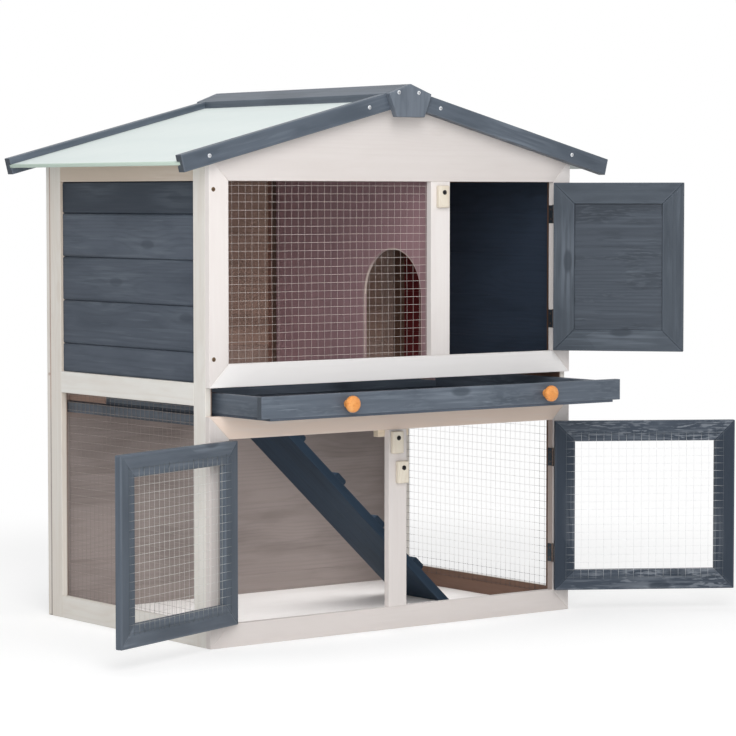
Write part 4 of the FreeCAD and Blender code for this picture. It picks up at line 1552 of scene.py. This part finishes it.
@dataclass
class Roof(Assembly):
    """Two sheets in grooved barge boards, under a cap of two planks with pointed end plates."""

    levels: Levels
    sheet_thickness: float = 0.006
    sheet_reach: float = 0.427
    barge_reach: float = 0.431
    barge_height: float = 0.027
    barge_reveal: float = 0.011
    groove_depth: float = 0.008
    groove_play: float = 0.0002
    cap_half: float = 0.043
    cap_rise: float = 0.01174
    cap_edge: float = 0.8573
    cap_recess: float = 0.0005
    shoulder: Point = (0.042, 0.8577)
    foot_half: float = 0.028
    soft_arris: float = 0.0012

    @property
    def seat(self) -> float:
        """Returns the height of the sheet's underside above that of the barge boards."""
        return self.barge_height - self.barge_reveal * math.cos(ROOF_PITCH) - self.sheet_thickness

    def barge_middle(self, x: float) -> float:
        """Returns the height of the middle of a barge board at a distance from the ridge."""
        rise = (self.barge_height / 2 - self.seat) / math.cos(ROOF_PITCH)
        return self.levels.ridge + rise - abs(x) * math.tan(ROOF_PITCH)

    @staticmethod
    def sloping(
        hand: Hand, seed: int, section: Sequence[Point], underside: float, reach: float,
        arris: float = ARRIS,
    ) -> Workpiece:
        """Makes a sloping board with a plumb end at the ridge.

        Args:
            hand: The side that it slopes down to.
            seed: The seed of the board.
            section: Its section, as depths in the hutch and heights above its underside.
            underside: The height of its underside at the middle of the roof.
            reach: How far from the middle its lower end is.
            arris: The size of its eased edges.

        Returns:
            The piece.
        """
        lean = max(height for _, height in section) * math.tan(ROOF_PITCH)
        slope = Matrix.Translation((0, 0, underside)) @ Matrix.Rotation(ROOF_PITCH, 4, "Y")
        plumb = Vector((0, 0, 0)), Vector((-math.cos(ROOF_PITCH), 0, -math.sin(ROOF_PITCH)))
        piece = Workpiece(seed)
        piece.prism(
            section, Axis.X, -2 * lean, reach / math.cos(ROOF_PITCH) - lean, Axis.X, arris=arris,
            place=hand.mirror @ slope, cuts=[plumb],
        )
        return piece

    def sheet(self, hand: Hand) -> bpy.types.Object:
        """Makes one roof sheet.

        Args:
            hand: The side of the roof.

        Returns:
            The piece.
        """
        node = f"{hand.name.lower()}_roof_sheet"
        low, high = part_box(node)
        top = self.sheet_thickness
        section = [(low.y, 0.0), (high.y, 0.0), (high.y, top), (low.y, top)]
        piece = self.sloping(
            hand, 80 + hand.value, section, self.levels.ridge, self.sheet_reach, self.soft_arris
        )
        return piece.finish(node, ROOF_SHEET)

    def barge(self, hand: Hand, front: bool) -> bpy.types.Object:
        """Makes one barge board, with the groove that holds the end of the sheet.

        Args:
            hand: The side of the roof.
            front: True for a board of the front, False for one of the back.

        Returns:
            The piece.
        """
        node = f"{'front' if front else 'rear'}_{hand.name.lower()}_barge_board"
        low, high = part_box(node)
        outer, inner = (low.y, high.y) if front else (high.y, low.y)
        groove = inner + (-self.groove_depth if front else self.groove_depth)
        slant, seat, top = math.cos(ROOF_PITCH), self.seat, self.barge_height
        foot, head = seat - self.groove_play * slant, seat + self.sheet_thickness + self.groove_play
        section = [
            (outer, 0.0), (inner, 0.0), (inner, foot), (groove, foot), (groove, head),
            (inner, head), (inner, top), (outer, top),
        ]
        underside = self.levels.ridge - seat / slant
        seed = 85 + 2 * hand.value + front
        piece = self.sloping(hand, seed, section, underside, self.barge_reach)
        return piece.finish(node, SLATE_PAINT)

    def cap(self) -> Pieces:
        """Makes the ridge planks and their end plates.

        Returns:
            The pieces, one after another.
        """
        low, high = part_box("ridge_planks")
        peak, rise, half, edge = high.z, self.cap_rise, self.cap_half, self.cap_edge
        section = [(0.0, peak - rise), (0.0, peak), (half, edge), (half, edge - rise)]
        start, end = low.y + self.cap_recess, high.y - self.cap_recess
        planks = Workpiece(91)
        for hand in Hand:
            planks.prism(section, Axis.Y, start, end, Axis.Y, place=hand.mirror)
        yield planks.finish("ridge_planks", SLATE_PAINT)
        low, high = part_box("ridge_end_plates")
        wide, shoulder = self.shoulder
        outline = [
            (0.0, peak), (wide, shoulder), (self.foot_half, low.z), (-self.foot_half, low.z),
            (-wide, shoulder),
        ]
        barge_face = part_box("front_left_barge_board")[0].y
        plates = Workpiece(92)
        for near, far in ((low.y, barge_face), (-barge_face, high.y)):
            plates.prism(outline, Axis.Y, near, far, Axis.Z, arris=self.soft_arris, tone=0.0)
        yield plates.finish("ridge_end_plates", PLATE_PAINT)

    def build(self) -> Pieces:
        """Makes the sheets, the barge boards and the cap.

        Returns:
            The pieces, one after another.
        """
        yield from map(self.sheet, Hand)
        yield from (self.barge(hand, front) for hand in Hand for front in (True, False))
        yield from self.cap()


@dataclass
class Rooms(Assembly):
    """The window's mesh, the partition with its arched way through, and the floor of the run."""

    arch_centre: float = -0.1175
    arch_half: float = 0.075
    spring: float = 0.533
    arch_steps: int = 28
    floor_arris: float = 0.0004

    def window(self) -> bpy.types.Object:
        """Makes the mesh behind the upper front frame.

        Returns:
            The piece.
        """
        low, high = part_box("window_mesh")
        wires = WeldedMesh((low.x, low.z), (high.x, high.z), 5)
        return wires.fit(101, Matrix.Translation((0, low.y, 0))).finish("window_mesh", WIRE)

    def partition(self) -> bpy.types.Object:
        """Makes the partition.

        Returns:
            The piece.
        """
        low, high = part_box("partition")
        centre, half = self.arch_centre, self.arch_half
        outline = [
            (centre - half, low.z), (low.y, low.z), (low.y, high.z), (high.y, high.z),
            (high.y, low.z), (centre + half, low.z),
        ]
        for step in range(self.arch_steps + 1):
            turn = math.pi * step / self.arch_steps
            outline.append((centre + half * math.cos(turn), self.spring + half * math.sin(turn)))
        piece = Workpiece(102)
        piece.prism(outline, Axis.X, low.x, high.x, Axis.Z)
        return piece.finish("partition", MAUVE_SHADE_WASH)

    def build(self) -> Pieces:
        """Makes the window, the partition, its batten and the floor panel.

        Returns:
            The pieces, one after another.
        """
        yield self.window()
        yield self.partition()
        batten = Workpiece(103)
        low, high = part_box("partition_batten")
        batten.board(low, high, Axis.Z)
        # The batten's front face takes a darker colour still: painted shade.
        batten.mark("inside", 1.0, lambda at: at.y < low.y + ARRIS)
        yield batten.finish("partition_batten", SHADED_BATTEN_PINE)
        yield plank("floor_panel", 104, Axis.X, FLOOR_LIGHT_WASH, arris=self.floor_arris)


@dataclass
class Ramp(Assembly):
    """The ramp board with its cross bars, and the batten that carries its head."""

    pitch: float = math.radians(43)
    thickness: float = 0.015
    bar_start: float = 0.098
    bar_step: float = 0.1125
    bar_count: int = 4
    bar_width: float = 0.026
    bar_height: float = 0.008
    bar_chamfer: float = 0.003

    def build(self) -> Pieces:
        """Makes the board, the bars and the batten.

        Returns:
            The pieces, one after another.
        """
        low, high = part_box("ramp_board")
        toe = high.x - self.thickness / math.sin(self.pitch)
        rise, run = high.z - low.z, 1 / math.tan(self.pitch)
        section = [
            (toe, low.z), (high.x, low.z), (high.x - rise * run, high.z), (low.x, high.z),
            (low.x, low.z + (toe - low.x) / run),
        ]
        tilt = Matrix.Rotation(self.pitch, 4, "Y")
        level = [(tilt.inverted() @ Vector((x, 0, z))).xz.to_tuple() for x, z in section]
        board = Workpiece(111)
        board.prism(level, Axis.Y, low.y, high.y, Axis.X, place=tilt)
        yield board.finish("ramp_board", SHADED_RAMP_PAINT)
        half, top, chamfer = self.bar_width / 2, self.bar_height, self.bar_chamfer
        profile = [
            (-half, 0.0), (half, 0.0), (half, top - chamfer), (half - chamfer, top),
            (chamfer - half, top), (-half, top - chamfer),
        ]
        foot = Matrix.Translation((high.x, 0, low.z)) @ tilt
        bars = Workpiece(112)
        for index in range(self.bar_count):
            along = Matrix.Translation((-(self.bar_start + index * self.bar_step), 0, 0))
            bars.prism(profile, Axis.Y, low.y, high.y, Axis.Y, place=foot @ along)
        yield bars.finish("ramp_cross_bars", SHADED_RAMP_PAINT)
        yield plank("ramp_head_batten", 113, Axis.Y, SIDE_WASH)


@dataclass
class Tray(Assembly):
    """The slide-out tray with its hatch for the ramp and its two turned knobs."""

    body: str = "tray"
    side_thickness: float = 0.012
    hatch: float = 0.164
    hatch_margin: float = 0.014
    pull: float = 0.131
    knob_half: float = 0.013
    knob_profile_mm: tuple[Point, ...] = (
        (0.0, 0.0), (6.9, 0.0), (7.0, 0.8), (6.8, 2.0), (6.2, 3.2), (6.0, 4.6), (6.3, 5.9),
        (7.4, 7.1), (9.2, 8.3), (11.2, 9.4), (12.5, 10.4), (13.0, 11.7), (13.0, 14.0),
        (12.6, 16.0), (11.6, 17.6), (10.0, 18.7), (7.8, 19.2), (4.5, 19.4), (0.0, 19.5),
    )

    def build(self) -> Pieces:
        """Makes the tray's boards and knobs.

        Returns:
            The pieces, one after another.
        """
        yield plank("tray_front_board", 121, Axis.X, TRAY_PAINT, self.body)
        yield plank("tray_back_board", 122, Axis.X, SLATE_PAINT, self.body)
        low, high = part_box("tray_sides")
        sides = Workpiece(123)
        corner = Vector((high.x - self.side_thickness, low.y, low.z))
        for hand in Hand:
            sides.board(corner, high, Axis.Y, place=hand.mirror)
        yield sides.finish("tray_sides", TRAY_PAINT, self.body)
        low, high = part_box("tray_bottom")
        ramp_low, ramp_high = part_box("ramp_board")
        margin, pull = self.hatch_margin, self.pull
        bottom = Workpiece(124)
        bottom.holed_panel(
            (low.x, ramp_low.x, ramp_low.x + self.hatch, high.x),
            (low.y, ramp_low.y - margin - pull, ramp_high.y + margin - pull, high.y),
            low.z, high.z,
        )
        yield bottom.finish("tray_bottom", BOARD_PAINT, self.body)
        low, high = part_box("tray_knobs")
        profile = [(radius / 1000, height / 1000) for radius, height in self.knob_profile_mm]
        turn = Matrix.Rotation(math.pi / 2, 4, "X")
        knobs = Workpiece(125)
        for hand in Hand:
            centre = (hand.value * (high.x - self.knob_half), high.y, (low.z + high.z) / 2)
            knobs.turned(profile, Matrix.Translation(centre) @ turn)
        yield knobs.finish("tray_knobs", KNOB_STAIN, self.body)


@dataclass
class HingedDoor(Assembly):
    """One door made shut in its opening and swung open on its hinges, with all their parts."""

    name: str
    hand: Hand
    left: float
    right: float
    low: float
    high: float
    front: float
    member: float
    angle: float
    hinge_offset: float
    paint: BrushedPine
    wire: Wire | None = None
    tones: tuple[float | None, float | None] = (None, None)
    thickness: float = 0.0115
    arris: float = 0.00105
    side_gap: float = 0.003
    end_gap: float = 0.001
    panel_thickness: float = 0.006
    panel_boards: int = 3
    panel_chamfer: float = 0.0007
    panel_gap: float = 0.0003
    mesh_lap: float = 0.016
    mesh_bow: float = 0.0008
    staple_daub_and_shade: float = 0.95
    stand_off: float = 0.0025
    hinge_height: float = 0.03
    knuckle: float = 0.002
    knuckle_arris: float = 0.00025
    knuckle_gap: float = 0.0004
    leaf: float = 0.001
    leaf_arris: float = 0.00015
    leaf_inset: float = 0.001
    screw_rise: float = 0.008
    screw_radius: float = 0.0018
    screw_dome: float = 0.0002

    @property
    def jamb(self) -> float:
        """Returns the side of the opening that the hinges are on."""
        return self.left if self.hand is Hand.LEFT else self.right

    @property
    def pin_place(self) -> Vector:
        """Returns where the hinge pins stand, on the floor's plane."""
        x = self.jamb - self.hand.value * self.side_gap / 2
        return Vector((x, self.front - self.stand_off, 0.0))

    @property
    def swing(self) -> Matrix:
        """Works out the turn from shut to open.

        Returns:
            The turn about the pins.
        """
        to_pin = Matrix.Translation(self.pin_place)
        turn = Matrix.Rotation(self.hand.value * math.radians(self.angle), 4, "Z")
        return to_pin @ turn @ to_pin.inverted()

    @property
    def edges(self) -> MitredFrame:
        """Returns the door's frame."""
        side, end = self.side_gap, self.end_gap
        return MitredFrame(
            self.left + side, self.right - side, self.low + end, self.high - end, self.member
        )

    @property
    def hinge_levels(self) -> tuple[float, float]:
        """Returns the heights of the middles of the two hinges."""
        middle = (self.low + self.high) / 2
        return middle - self.hinge_offset, middle + self.hinge_offset

    def wooden_frame(self, seed: int) -> bpy.types.Object:
        """Makes the four members.

        Args:
            seed: The seed of the boards.

        Returns:
            The piece.
        """
        piece = Workpiece(seed)
        ends = self.front, self.front + self.thickness
        for member, outline in self.edges.members().items():
            tone = self.tones[0 if member.endswith("stile") else 1]
            piece.prism(
                outline, Axis.Y, *ends, grain_of(member), self.arris, self.swing, tone=tone
            )
        return piece.finish(f"{self.name}_frame", self.paint, self.name)

    def panel(self, seed: int) -> bpy.types.Object:
        """Makes the boards that fill the frame.

        Args:
            seed: The seed of the boards.

        Returns:
            The piece.
        """
        piece, edges = Workpiece(seed), self.edges
        foot, head = edges.low + self.member, edges.high - self.member
        count, thickness = self.panel_boards, self.panel_thickness
        marks = [foot + (head - foot) * index / count for index in range(count + 1)]
        face = self.front + (self.thickness - thickness) / 2
        left, right = edges.left + self.member, edges.right - self.member
        stack = MatchedBoards(face, face + thickness, marks, self.panel_chamfer, self.panel_gap)
        stack.lay(piece, Axis.X, left, right, self.swing)
        return piece.finish(f"{self.name}_panel", PANEL_PAINT, self.name)

    def netting(self, seed: int) -> bpy.types.Object:
        """Makes the mesh behind the frame, with its margin painted over.

        Args:
            seed: The seed of the mesh.

        Returns:
            The piece.
        """
        edges, inset = self.edges, self.member - self.mesh_lap
        wires = WeldedMesh(
            (edges.left + inset, edges.low + inset), (edges.right - inset, edges.high - inset),
            seed, self.mesh_bow, self.mesh_lap, self.staple_daub_and_shade,
        )
        behind = Matrix.Translation((0, self.front + self.thickness, 0))
        piece = wires.fit(seed, self.swing @ behind)
        return piece.finish(f"{self.name}_mesh", self.wire, self.name)

    def leaf_plate(
        self, piece: Workpiece, level: float, rear: float, on_door: bool, place: Matrix
    ) -> None:
        """Adds one leaf of a hinge, with its knuckles and two screws.

        Args:
            piece: The piece that the leaf joins.
            level: The height of the hinge's middle.
            rear: Where the leaf ends.
            on_door: True for the door's leaf, False for the jamb's.
            place: The turn from shut to open, or none.
        """
        side, pin = self.hand.value, self.pin_place
        inward = side if on_door else -side
        plane = self.jamb - side * self.side_gap if on_door else self.jamb
        face = plane + inward * self.leaf
        low, third = level - self.hinge_height / 2, self.hinge_height / 3
        gap = self.knuckle_gap if on_door else 0.0
        marks = [low, low + third + gap, low + 2 * third - gap, low + 3 * third]
        notch = pin.y + self.knuckle + 2 * self.knuckle_gap
        outer, inner = (notch, pin.y) if on_door else (pin.y, notch)
        depths = (rear, rear, outer, outer, inner, inner, outer, outer)
        outline = [(y, marks[mark]) for y, mark in zip(depths, (0, 3, 3, 2, 2, 1, 1, 0))]
        piece.prism(outline, Axis.X, plane, face, Axis.Z, arris=self.leaf_arris, place=place)
        for span in ((1, 2),) if on_door else ((0, 1), (2, 3)):
            barrel = [place @ Vector((pin.x, pin.y, marks[mark])) for mark in span]
            piece.rod(*barrel, self.knuckle, 24, self.knuckle_arris)
        turn = Matrix.Rotation(inward * math.pi / 2, 4, "Y")
        for height in (level - self.screw_rise, level + self.screw_rise):
            spot = place @ Matrix.Translation((face, (notch + rear) / 2, height)) @ turn
            piece.cross_head(spot, self.screw_radius, self.screw_dome, self.screw_dome)

    def leaves(self) -> bpy.types.Object:
        """Makes the leaves that ride on the door.

        Returns:
            The piece.
        """
        piece = Workpiece(7)
        rear = self.front + self.thickness - self.leaf_inset
        for level in self.hinge_levels:
            self.leaf_plate(piece, level, rear, True, self.swing)
        return piece.finish(f"{self.name}_hinge_leaves", HINGE_STEEL, self.name)

    def build(self) -> Pieces:
        """Makes the door's own pieces: boards fill the frame of a door that has no wire.

        Returns:
            The pieces, one after another.
        """
        seed = 130 + len(self.name)
        yield self.wooden_frame(seed)
        yield (self.netting if self.wire else self.panel)(seed + 20)
        yield self.leaves()


@dataclass
class JambHardware(Assembly):
    """The hinge leaves and pins that stay on the hutch."""

    doors: Sequence[HingedDoor]
    levels: Levels
    pin: float = 0.0011
    head: float = 0.0019
    head_height: float = 0.0008
    head_arris: float = 0.0003

    def build(self) -> Pieces:
        """Makes the leaves and the pins of all doors.

        Returns:
            The pieces, one after another.
        """
        leaves, pins = Workpiece(8), Workpiece(9)
        for door in self.doors:
            rear = self.levels.front_inner - door.leaf_inset
            for level in door.hinge_levels:
                door.leaf_plate(leaves, level, rear, False, IDENTITY)
                low, high = level - door.hinge_height / 2, level + door.hinge_height / 2
                foot, top, crown = (
                    door.pin_place + Axis.Z.unit * z for z in (low, high, high + self.head_height)
                )
                pins.rod(foot, top, self.pin)
                pins.rod(top, crown, self.head, 24, self.head_arris)
        yield leaves.finish("jamb_hinge_leaves", HINGE_STEEL)
        yield pins.finish("hinge_pins", HINGE_STEEL)


@dataclass
class TurnButton(Assembly):
    """A small block that turns on a screw and holds a door shut."""

    name: str
    arris: float = 0.0018

    def build(self) -> Pieces:
        """Makes the block."""
        seed = sum(map(ord, self.name))
        yield plank(self.name, seed, Axis.Z, BUTTON_WOOD, self.name, self.arris)


@dataclass(frozen=True)
class ScrewSize:
    """How wide a screw's head is and how far it stands proud."""

    radius: float
    height: float
    side: float = 0.45
    embedded: float = 0.0006
    shank_start: float = 0.0004
    shank_end: float = 0.012

    def drive(self, piece: Workpiece, spot: Vector, toward: int) -> None:
        """Adds a screw whose head stands on a face.

        Args:
            piece: The piece that it joins.
            spot: The middle of the head, on the face.
            toward: -1 for a head that faces the front, 1 for the back.
        """
        out = Axis.Y.unit * toward
        turn = Matrix.Rotation(-toward * math.pi / 2, 4, "X")
        spin = Matrix.Rotation(piece.dice.uniform(0, math.pi / 2), 4, "Z")
        edge = self.height * self.side
        place = Matrix.Translation(spot + out * edge) @ turn @ spin
        piece.cross_head(place, self.radius, self.height - edge, edge + self.embedded)
        start, end = spot - out * self.shank_start, spot - out * self.shank_end
        piece.rod(start, end, self.radius * 0.5, 10)


@dataclass
class Screws(Assembly):
    """All screws that show: in the frames, in the roof's edges and in the turn buttons."""

    joints: Sequence[dict[str, Any]]
    roof: Roof
    frame_size: ScrewSize = ScrewSize(0.0036, 0.0002)
    roof_size: ScrewSize = ScrewSize(0.0032, 0.0014)
    button_size: ScrewSize = ScrewSize(0.0038, 0.0022)
    frame_spots: tuple[Point, ...] = ((0.357, 0.446), (0.357, 0.706))
    barge_places: tuple[float, ...] = (-0.379, -0.074, 0.0695, 0.35)
    plate_places: tuple[float, ...] = (-0.0245, 0.0155)
    plate_drop: float = 0.014

    @staticmethod
    def both_ends(seed: int, size: ScrewSize, spots: Sequence[Point3]) -> Workpiece:
        """Drives screws into the front of the hutch and the same ones into its back.

        Args:
            seed: The seed of their turns.
            size: Their size.
            spots: Their places on the front.

        Returns:
            The piece.
        """
        piece = Workpiece(seed)
        for toward in (-1, 1):
            for x, y, z in spots:
                size.drive(piece, Vector((x, -toward * y, z)), toward)
        return piece

    def build(self) -> Pieces:
        """Makes the screws of the three kinds.

        Returns:
            The pieces, one after another.
        """
        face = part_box("front_lower_left_stile")[0].y
        spots = [(hand.value * x, face, z) for hand in Hand for x, z in self.frame_spots]
        yield self.both_ends(151, self.frame_size, spots).finish("frame_screws", FRAME_SCREW)
        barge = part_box("front_left_barge_board")[0].y
        plate_low, plate_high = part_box("ridge_end_plates")
        level = plate_high.z - self.plate_drop
        spots = [(x, barge, self.roof.barge_middle(x)) for x in self.barge_places]
        spots += [(x, plate_low.y, level) for x in self.plate_places]
        yield self.both_ends(152, self.roof_size, spots).finish("roof_screws", ZINC_SCREW)
        piece = Workpiece(153)
        for joint in self.joints:
            if joint["name"].endswith("button_pivot"):
                spot = Vector(joint["pos_m"])
                spot.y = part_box(joint["child"])[0].y
                self.button_size.drive(piece, spot, -1)
        yield piece.finish("turn_button_screws", BLACK_SCREW)


# The studio


def put_up(name: str, data: Any, place: Point3, view: Vector) -> bpy.types.Object:
    """Puts a lamp or a camera in its place.

    Args:
        name: The object's name.
        data: The lamp or the camera.
        place: Where it goes.
        view: The way that it looks.

    Returns:
        The new object.
    """
    made = bpy.data.objects.new(name, data)
    turn = view.to_track_quat("-Z", "Y").to_matrix().to_4x4()
    made.matrix_world = Matrix.Translation(place) @ turn
    bpy.context.scene.collection.objects.link(made)
    return made


@dataclass(frozen=True)
class Lamp:
    """A soft lamp that is aimed at a target, and that the camera doesn't see."""

    name: str
    place: Point3
    size: float
    power: float
    target: Point3 = (0.0, 0.0, 0.4)
    spread: float = math.pi
    depth: float = 0.0

    def hang(self) -> None:
        """Hangs the lamp."""
        light = bpy.data.lights.new(self.name, "AREA")
        light.shape = "ELLIPSE"
        light.size = self.size
        light.size_y = self.depth or self.size
        light.energy = self.power
        light.spread = self.spread
        stand = put_up(self.name, light, self.place, Vector(self.target) - Vector(self.place))
        stand.visible_camera = False
        stand.visible_glossy = False


@dataclass
class Studio:
    """White floor, white surroundings, soft lamps and the camera of the photograph."""

    eye: Point3 = (-2.8813, -3.9262, 0.6943)
    heading: float = math.radians(37.4156)
    dip: float = math.radians(3.3495)
    focal_length: float = 142.96
    sensor: float = 36.0
    far: float = 100.0
    surround: float = 0.46
    ground: float = 30.0
    clear: Point = (0.9, 1.7)
    lamps: tuple[Lamp, ...] = (
        Lamp("key", (-1.9, -3.3, 2.7), 2.2, 62.0),
        Lamp("fill", (-2.6, -3.4, 1.0), 2.0, 52.0),
        Lamp("top", (0.0, 0.0, 3.6), 2.2, 30.0),
        Lamp("run_lift", (0.0, 0.02, 0.335), 0.62, 0.95, (0.0, 0.02, 0.0), 1.9, 0.38),
    )

    def camera(self) -> None:
        """Sets the camera up where the photograph was taken from."""
        lens = bpy.data.cameras.new("photo_camera")
        lens.lens = self.focal_length
        lens.sensor_width = self.sensor
        lens.clip_end = self.far
        flat, turn = math.cos(self.dip), self.heading
        view = Vector((flat * math.sin(turn), flat * math.cos(turn), -math.sin(self.dip)))
        bpy.context.scene.camera = put_up("photo_camera", lens, self.eye, view)

    def surroundings(self) -> None:
        """Makes the world, which is white to the camera and lights evenly."""
        graph = Graph(bpy.data.worlds.new("studio"))
        rays = graph.node("ShaderNodeLightPath", {}, {}).outputs
        camera, glossy = (Signal(graph, rays[f"Is {kind} Ray"]) for kind in ("Camera", "Glossy"))
        strength = self.surround + camera.math("MAXIMUM", camera, glossy) * (1 - self.surround)
        inputs = {"Color": rgba((1, 1, 1)), "Strength": strength}
        glow = graph.add("ShaderNodeBackground", {}, inputs)
        bpy.context.scene.world = graph.close(glow, "ShaderNodeOutputWorld")

    def floor(self) -> None:
        """Lays the floor, which keeps the shadow of the hutch and is white elsewhere."""
        sheet = bmesh.new()
        bmesh.ops.create_grid(sheet, x_segments=1, y_segments=1, size=self.ground)
        mesh = bpy.data.meshes.new("studio_floor")
        sheet.to_mesh(mesh)
        sheet.free()
        graph = Graph(bpy.data.materials.new("studio_white"))
        rays = graph.node("ShaderNodeLightPath", {}, {}).outputs
        diffuse, soft = (
            graph.add("ShaderNodeBsdfDiffuse", {}, {"Color": rgba((grey, grey, grey))})
            for grey in (0.9, 0.6)
        )
        lift, white = (
            graph.add("ShaderNodeEmission", {}, {"Color": rgba((1, 1, 1)), "Strength": strength})
            for strength in (0.5, 1.0)
        )
        near = graph.add("ShaderNodeAddShader", {}, {0: soft, 1: lift})
        length = {"operation": "LENGTH"}
        away = graph.add("ShaderNodeVectorMath", length, {0: graph.place()}, "Value")
        view = graph.add("ShaderNodeMixShader", {}, {0: away.ramp(*self.clear), 1: near, 2: white})
        seen = Signal(graph, rays["Is Camera Ray"])
        shader = graph.add("ShaderNodeMixShader", {}, {0: seen, 1: diffuse, 2: view})
        mesh.materials.append(graph.close(shader))
        ground = bpy.data.objects.new("studio_floor", mesh)
        bpy.context.scene.collection.objects.link(ground)
        ground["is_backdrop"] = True

    def build(self) -> None:
        """Sets up the whole studio."""
        self.camera()
        self.surroundings()
        self.floor()
        for lamp in self.lamps:
            lamp.hang()
        bpy.context.scene.view_settings.view_transform = "Standard"


def doors(levels: Levels) -> list[HingedDoor]:
    """Returns the three doors of the front.

    Args:
        levels: The planes of the hutch.

    Returns:
        The upper door and the lower left and right ones.
    """
    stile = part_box("front_upper_mid_stile")[1].x
    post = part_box("front_lower_mid_post")[1].x
    jamb, front = levels.jamb, levels.front
    lower = (levels.member, levels.lower_head, front, 0.034)
    return [
        HingedDoor(
            "upper_door", Hand.RIGHT, stile, jamb, levels.upper_sill, levels.gable_foot, front,
            0.035, 131.0, 0.087, UPPER_DOOR_PAINT,
        ),
        HingedDoor(
            "lower_left_door", Hand.LEFT, -jamb, -post, *lower, 158.5, 0.0805, SLATE_PAINT,
            SHADED_WIRE, (1.3, 0.5),
        ),
        HingedDoor(
            "lower_right_door", Hand.RIGHT, post, jamb, *lower, 148.0, 0.0805, DOOR_PAINT,
            LIT_DOOR_WIRE, (2.4, 0.3),
        ),
    ]


def main() -> None:
    """Builds the studio and every sub-assembly."""
    Studio().build()
    levels = Levels.from_frame()
    hung, roof = doors(levels), Roof(levels)
    assemblies: list[Assembly] = [
        Front(levels), Back(levels), SidePanel(levels, Hand.LEFT), SidePanel(levels, Hand.RIGHT),
        roof, Rooms(), Ramp(), Tray(), *hung, JambHardware(hung, levels),
        *(TurnButton(f"{door}_turn_button") for door in ("upper", "lower_left", "lower_right")),
        Screws(frame["joints"], roof),
    ]
    for assembly in assemblies:
        for piece in assembly.build():
            LOG.info("%s made, %d faces", piece.name, len(piece.data.polygons))
    boxes = {"cad": CAD_BOX, "visual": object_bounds()}
    {key: [list(corner) for corner in box] for key, box in boxes.items()}


if __name__ == "__main__":
    logging.basicConfig(level=logging.INFO, format="%(name)s: %(message)s")
    main()
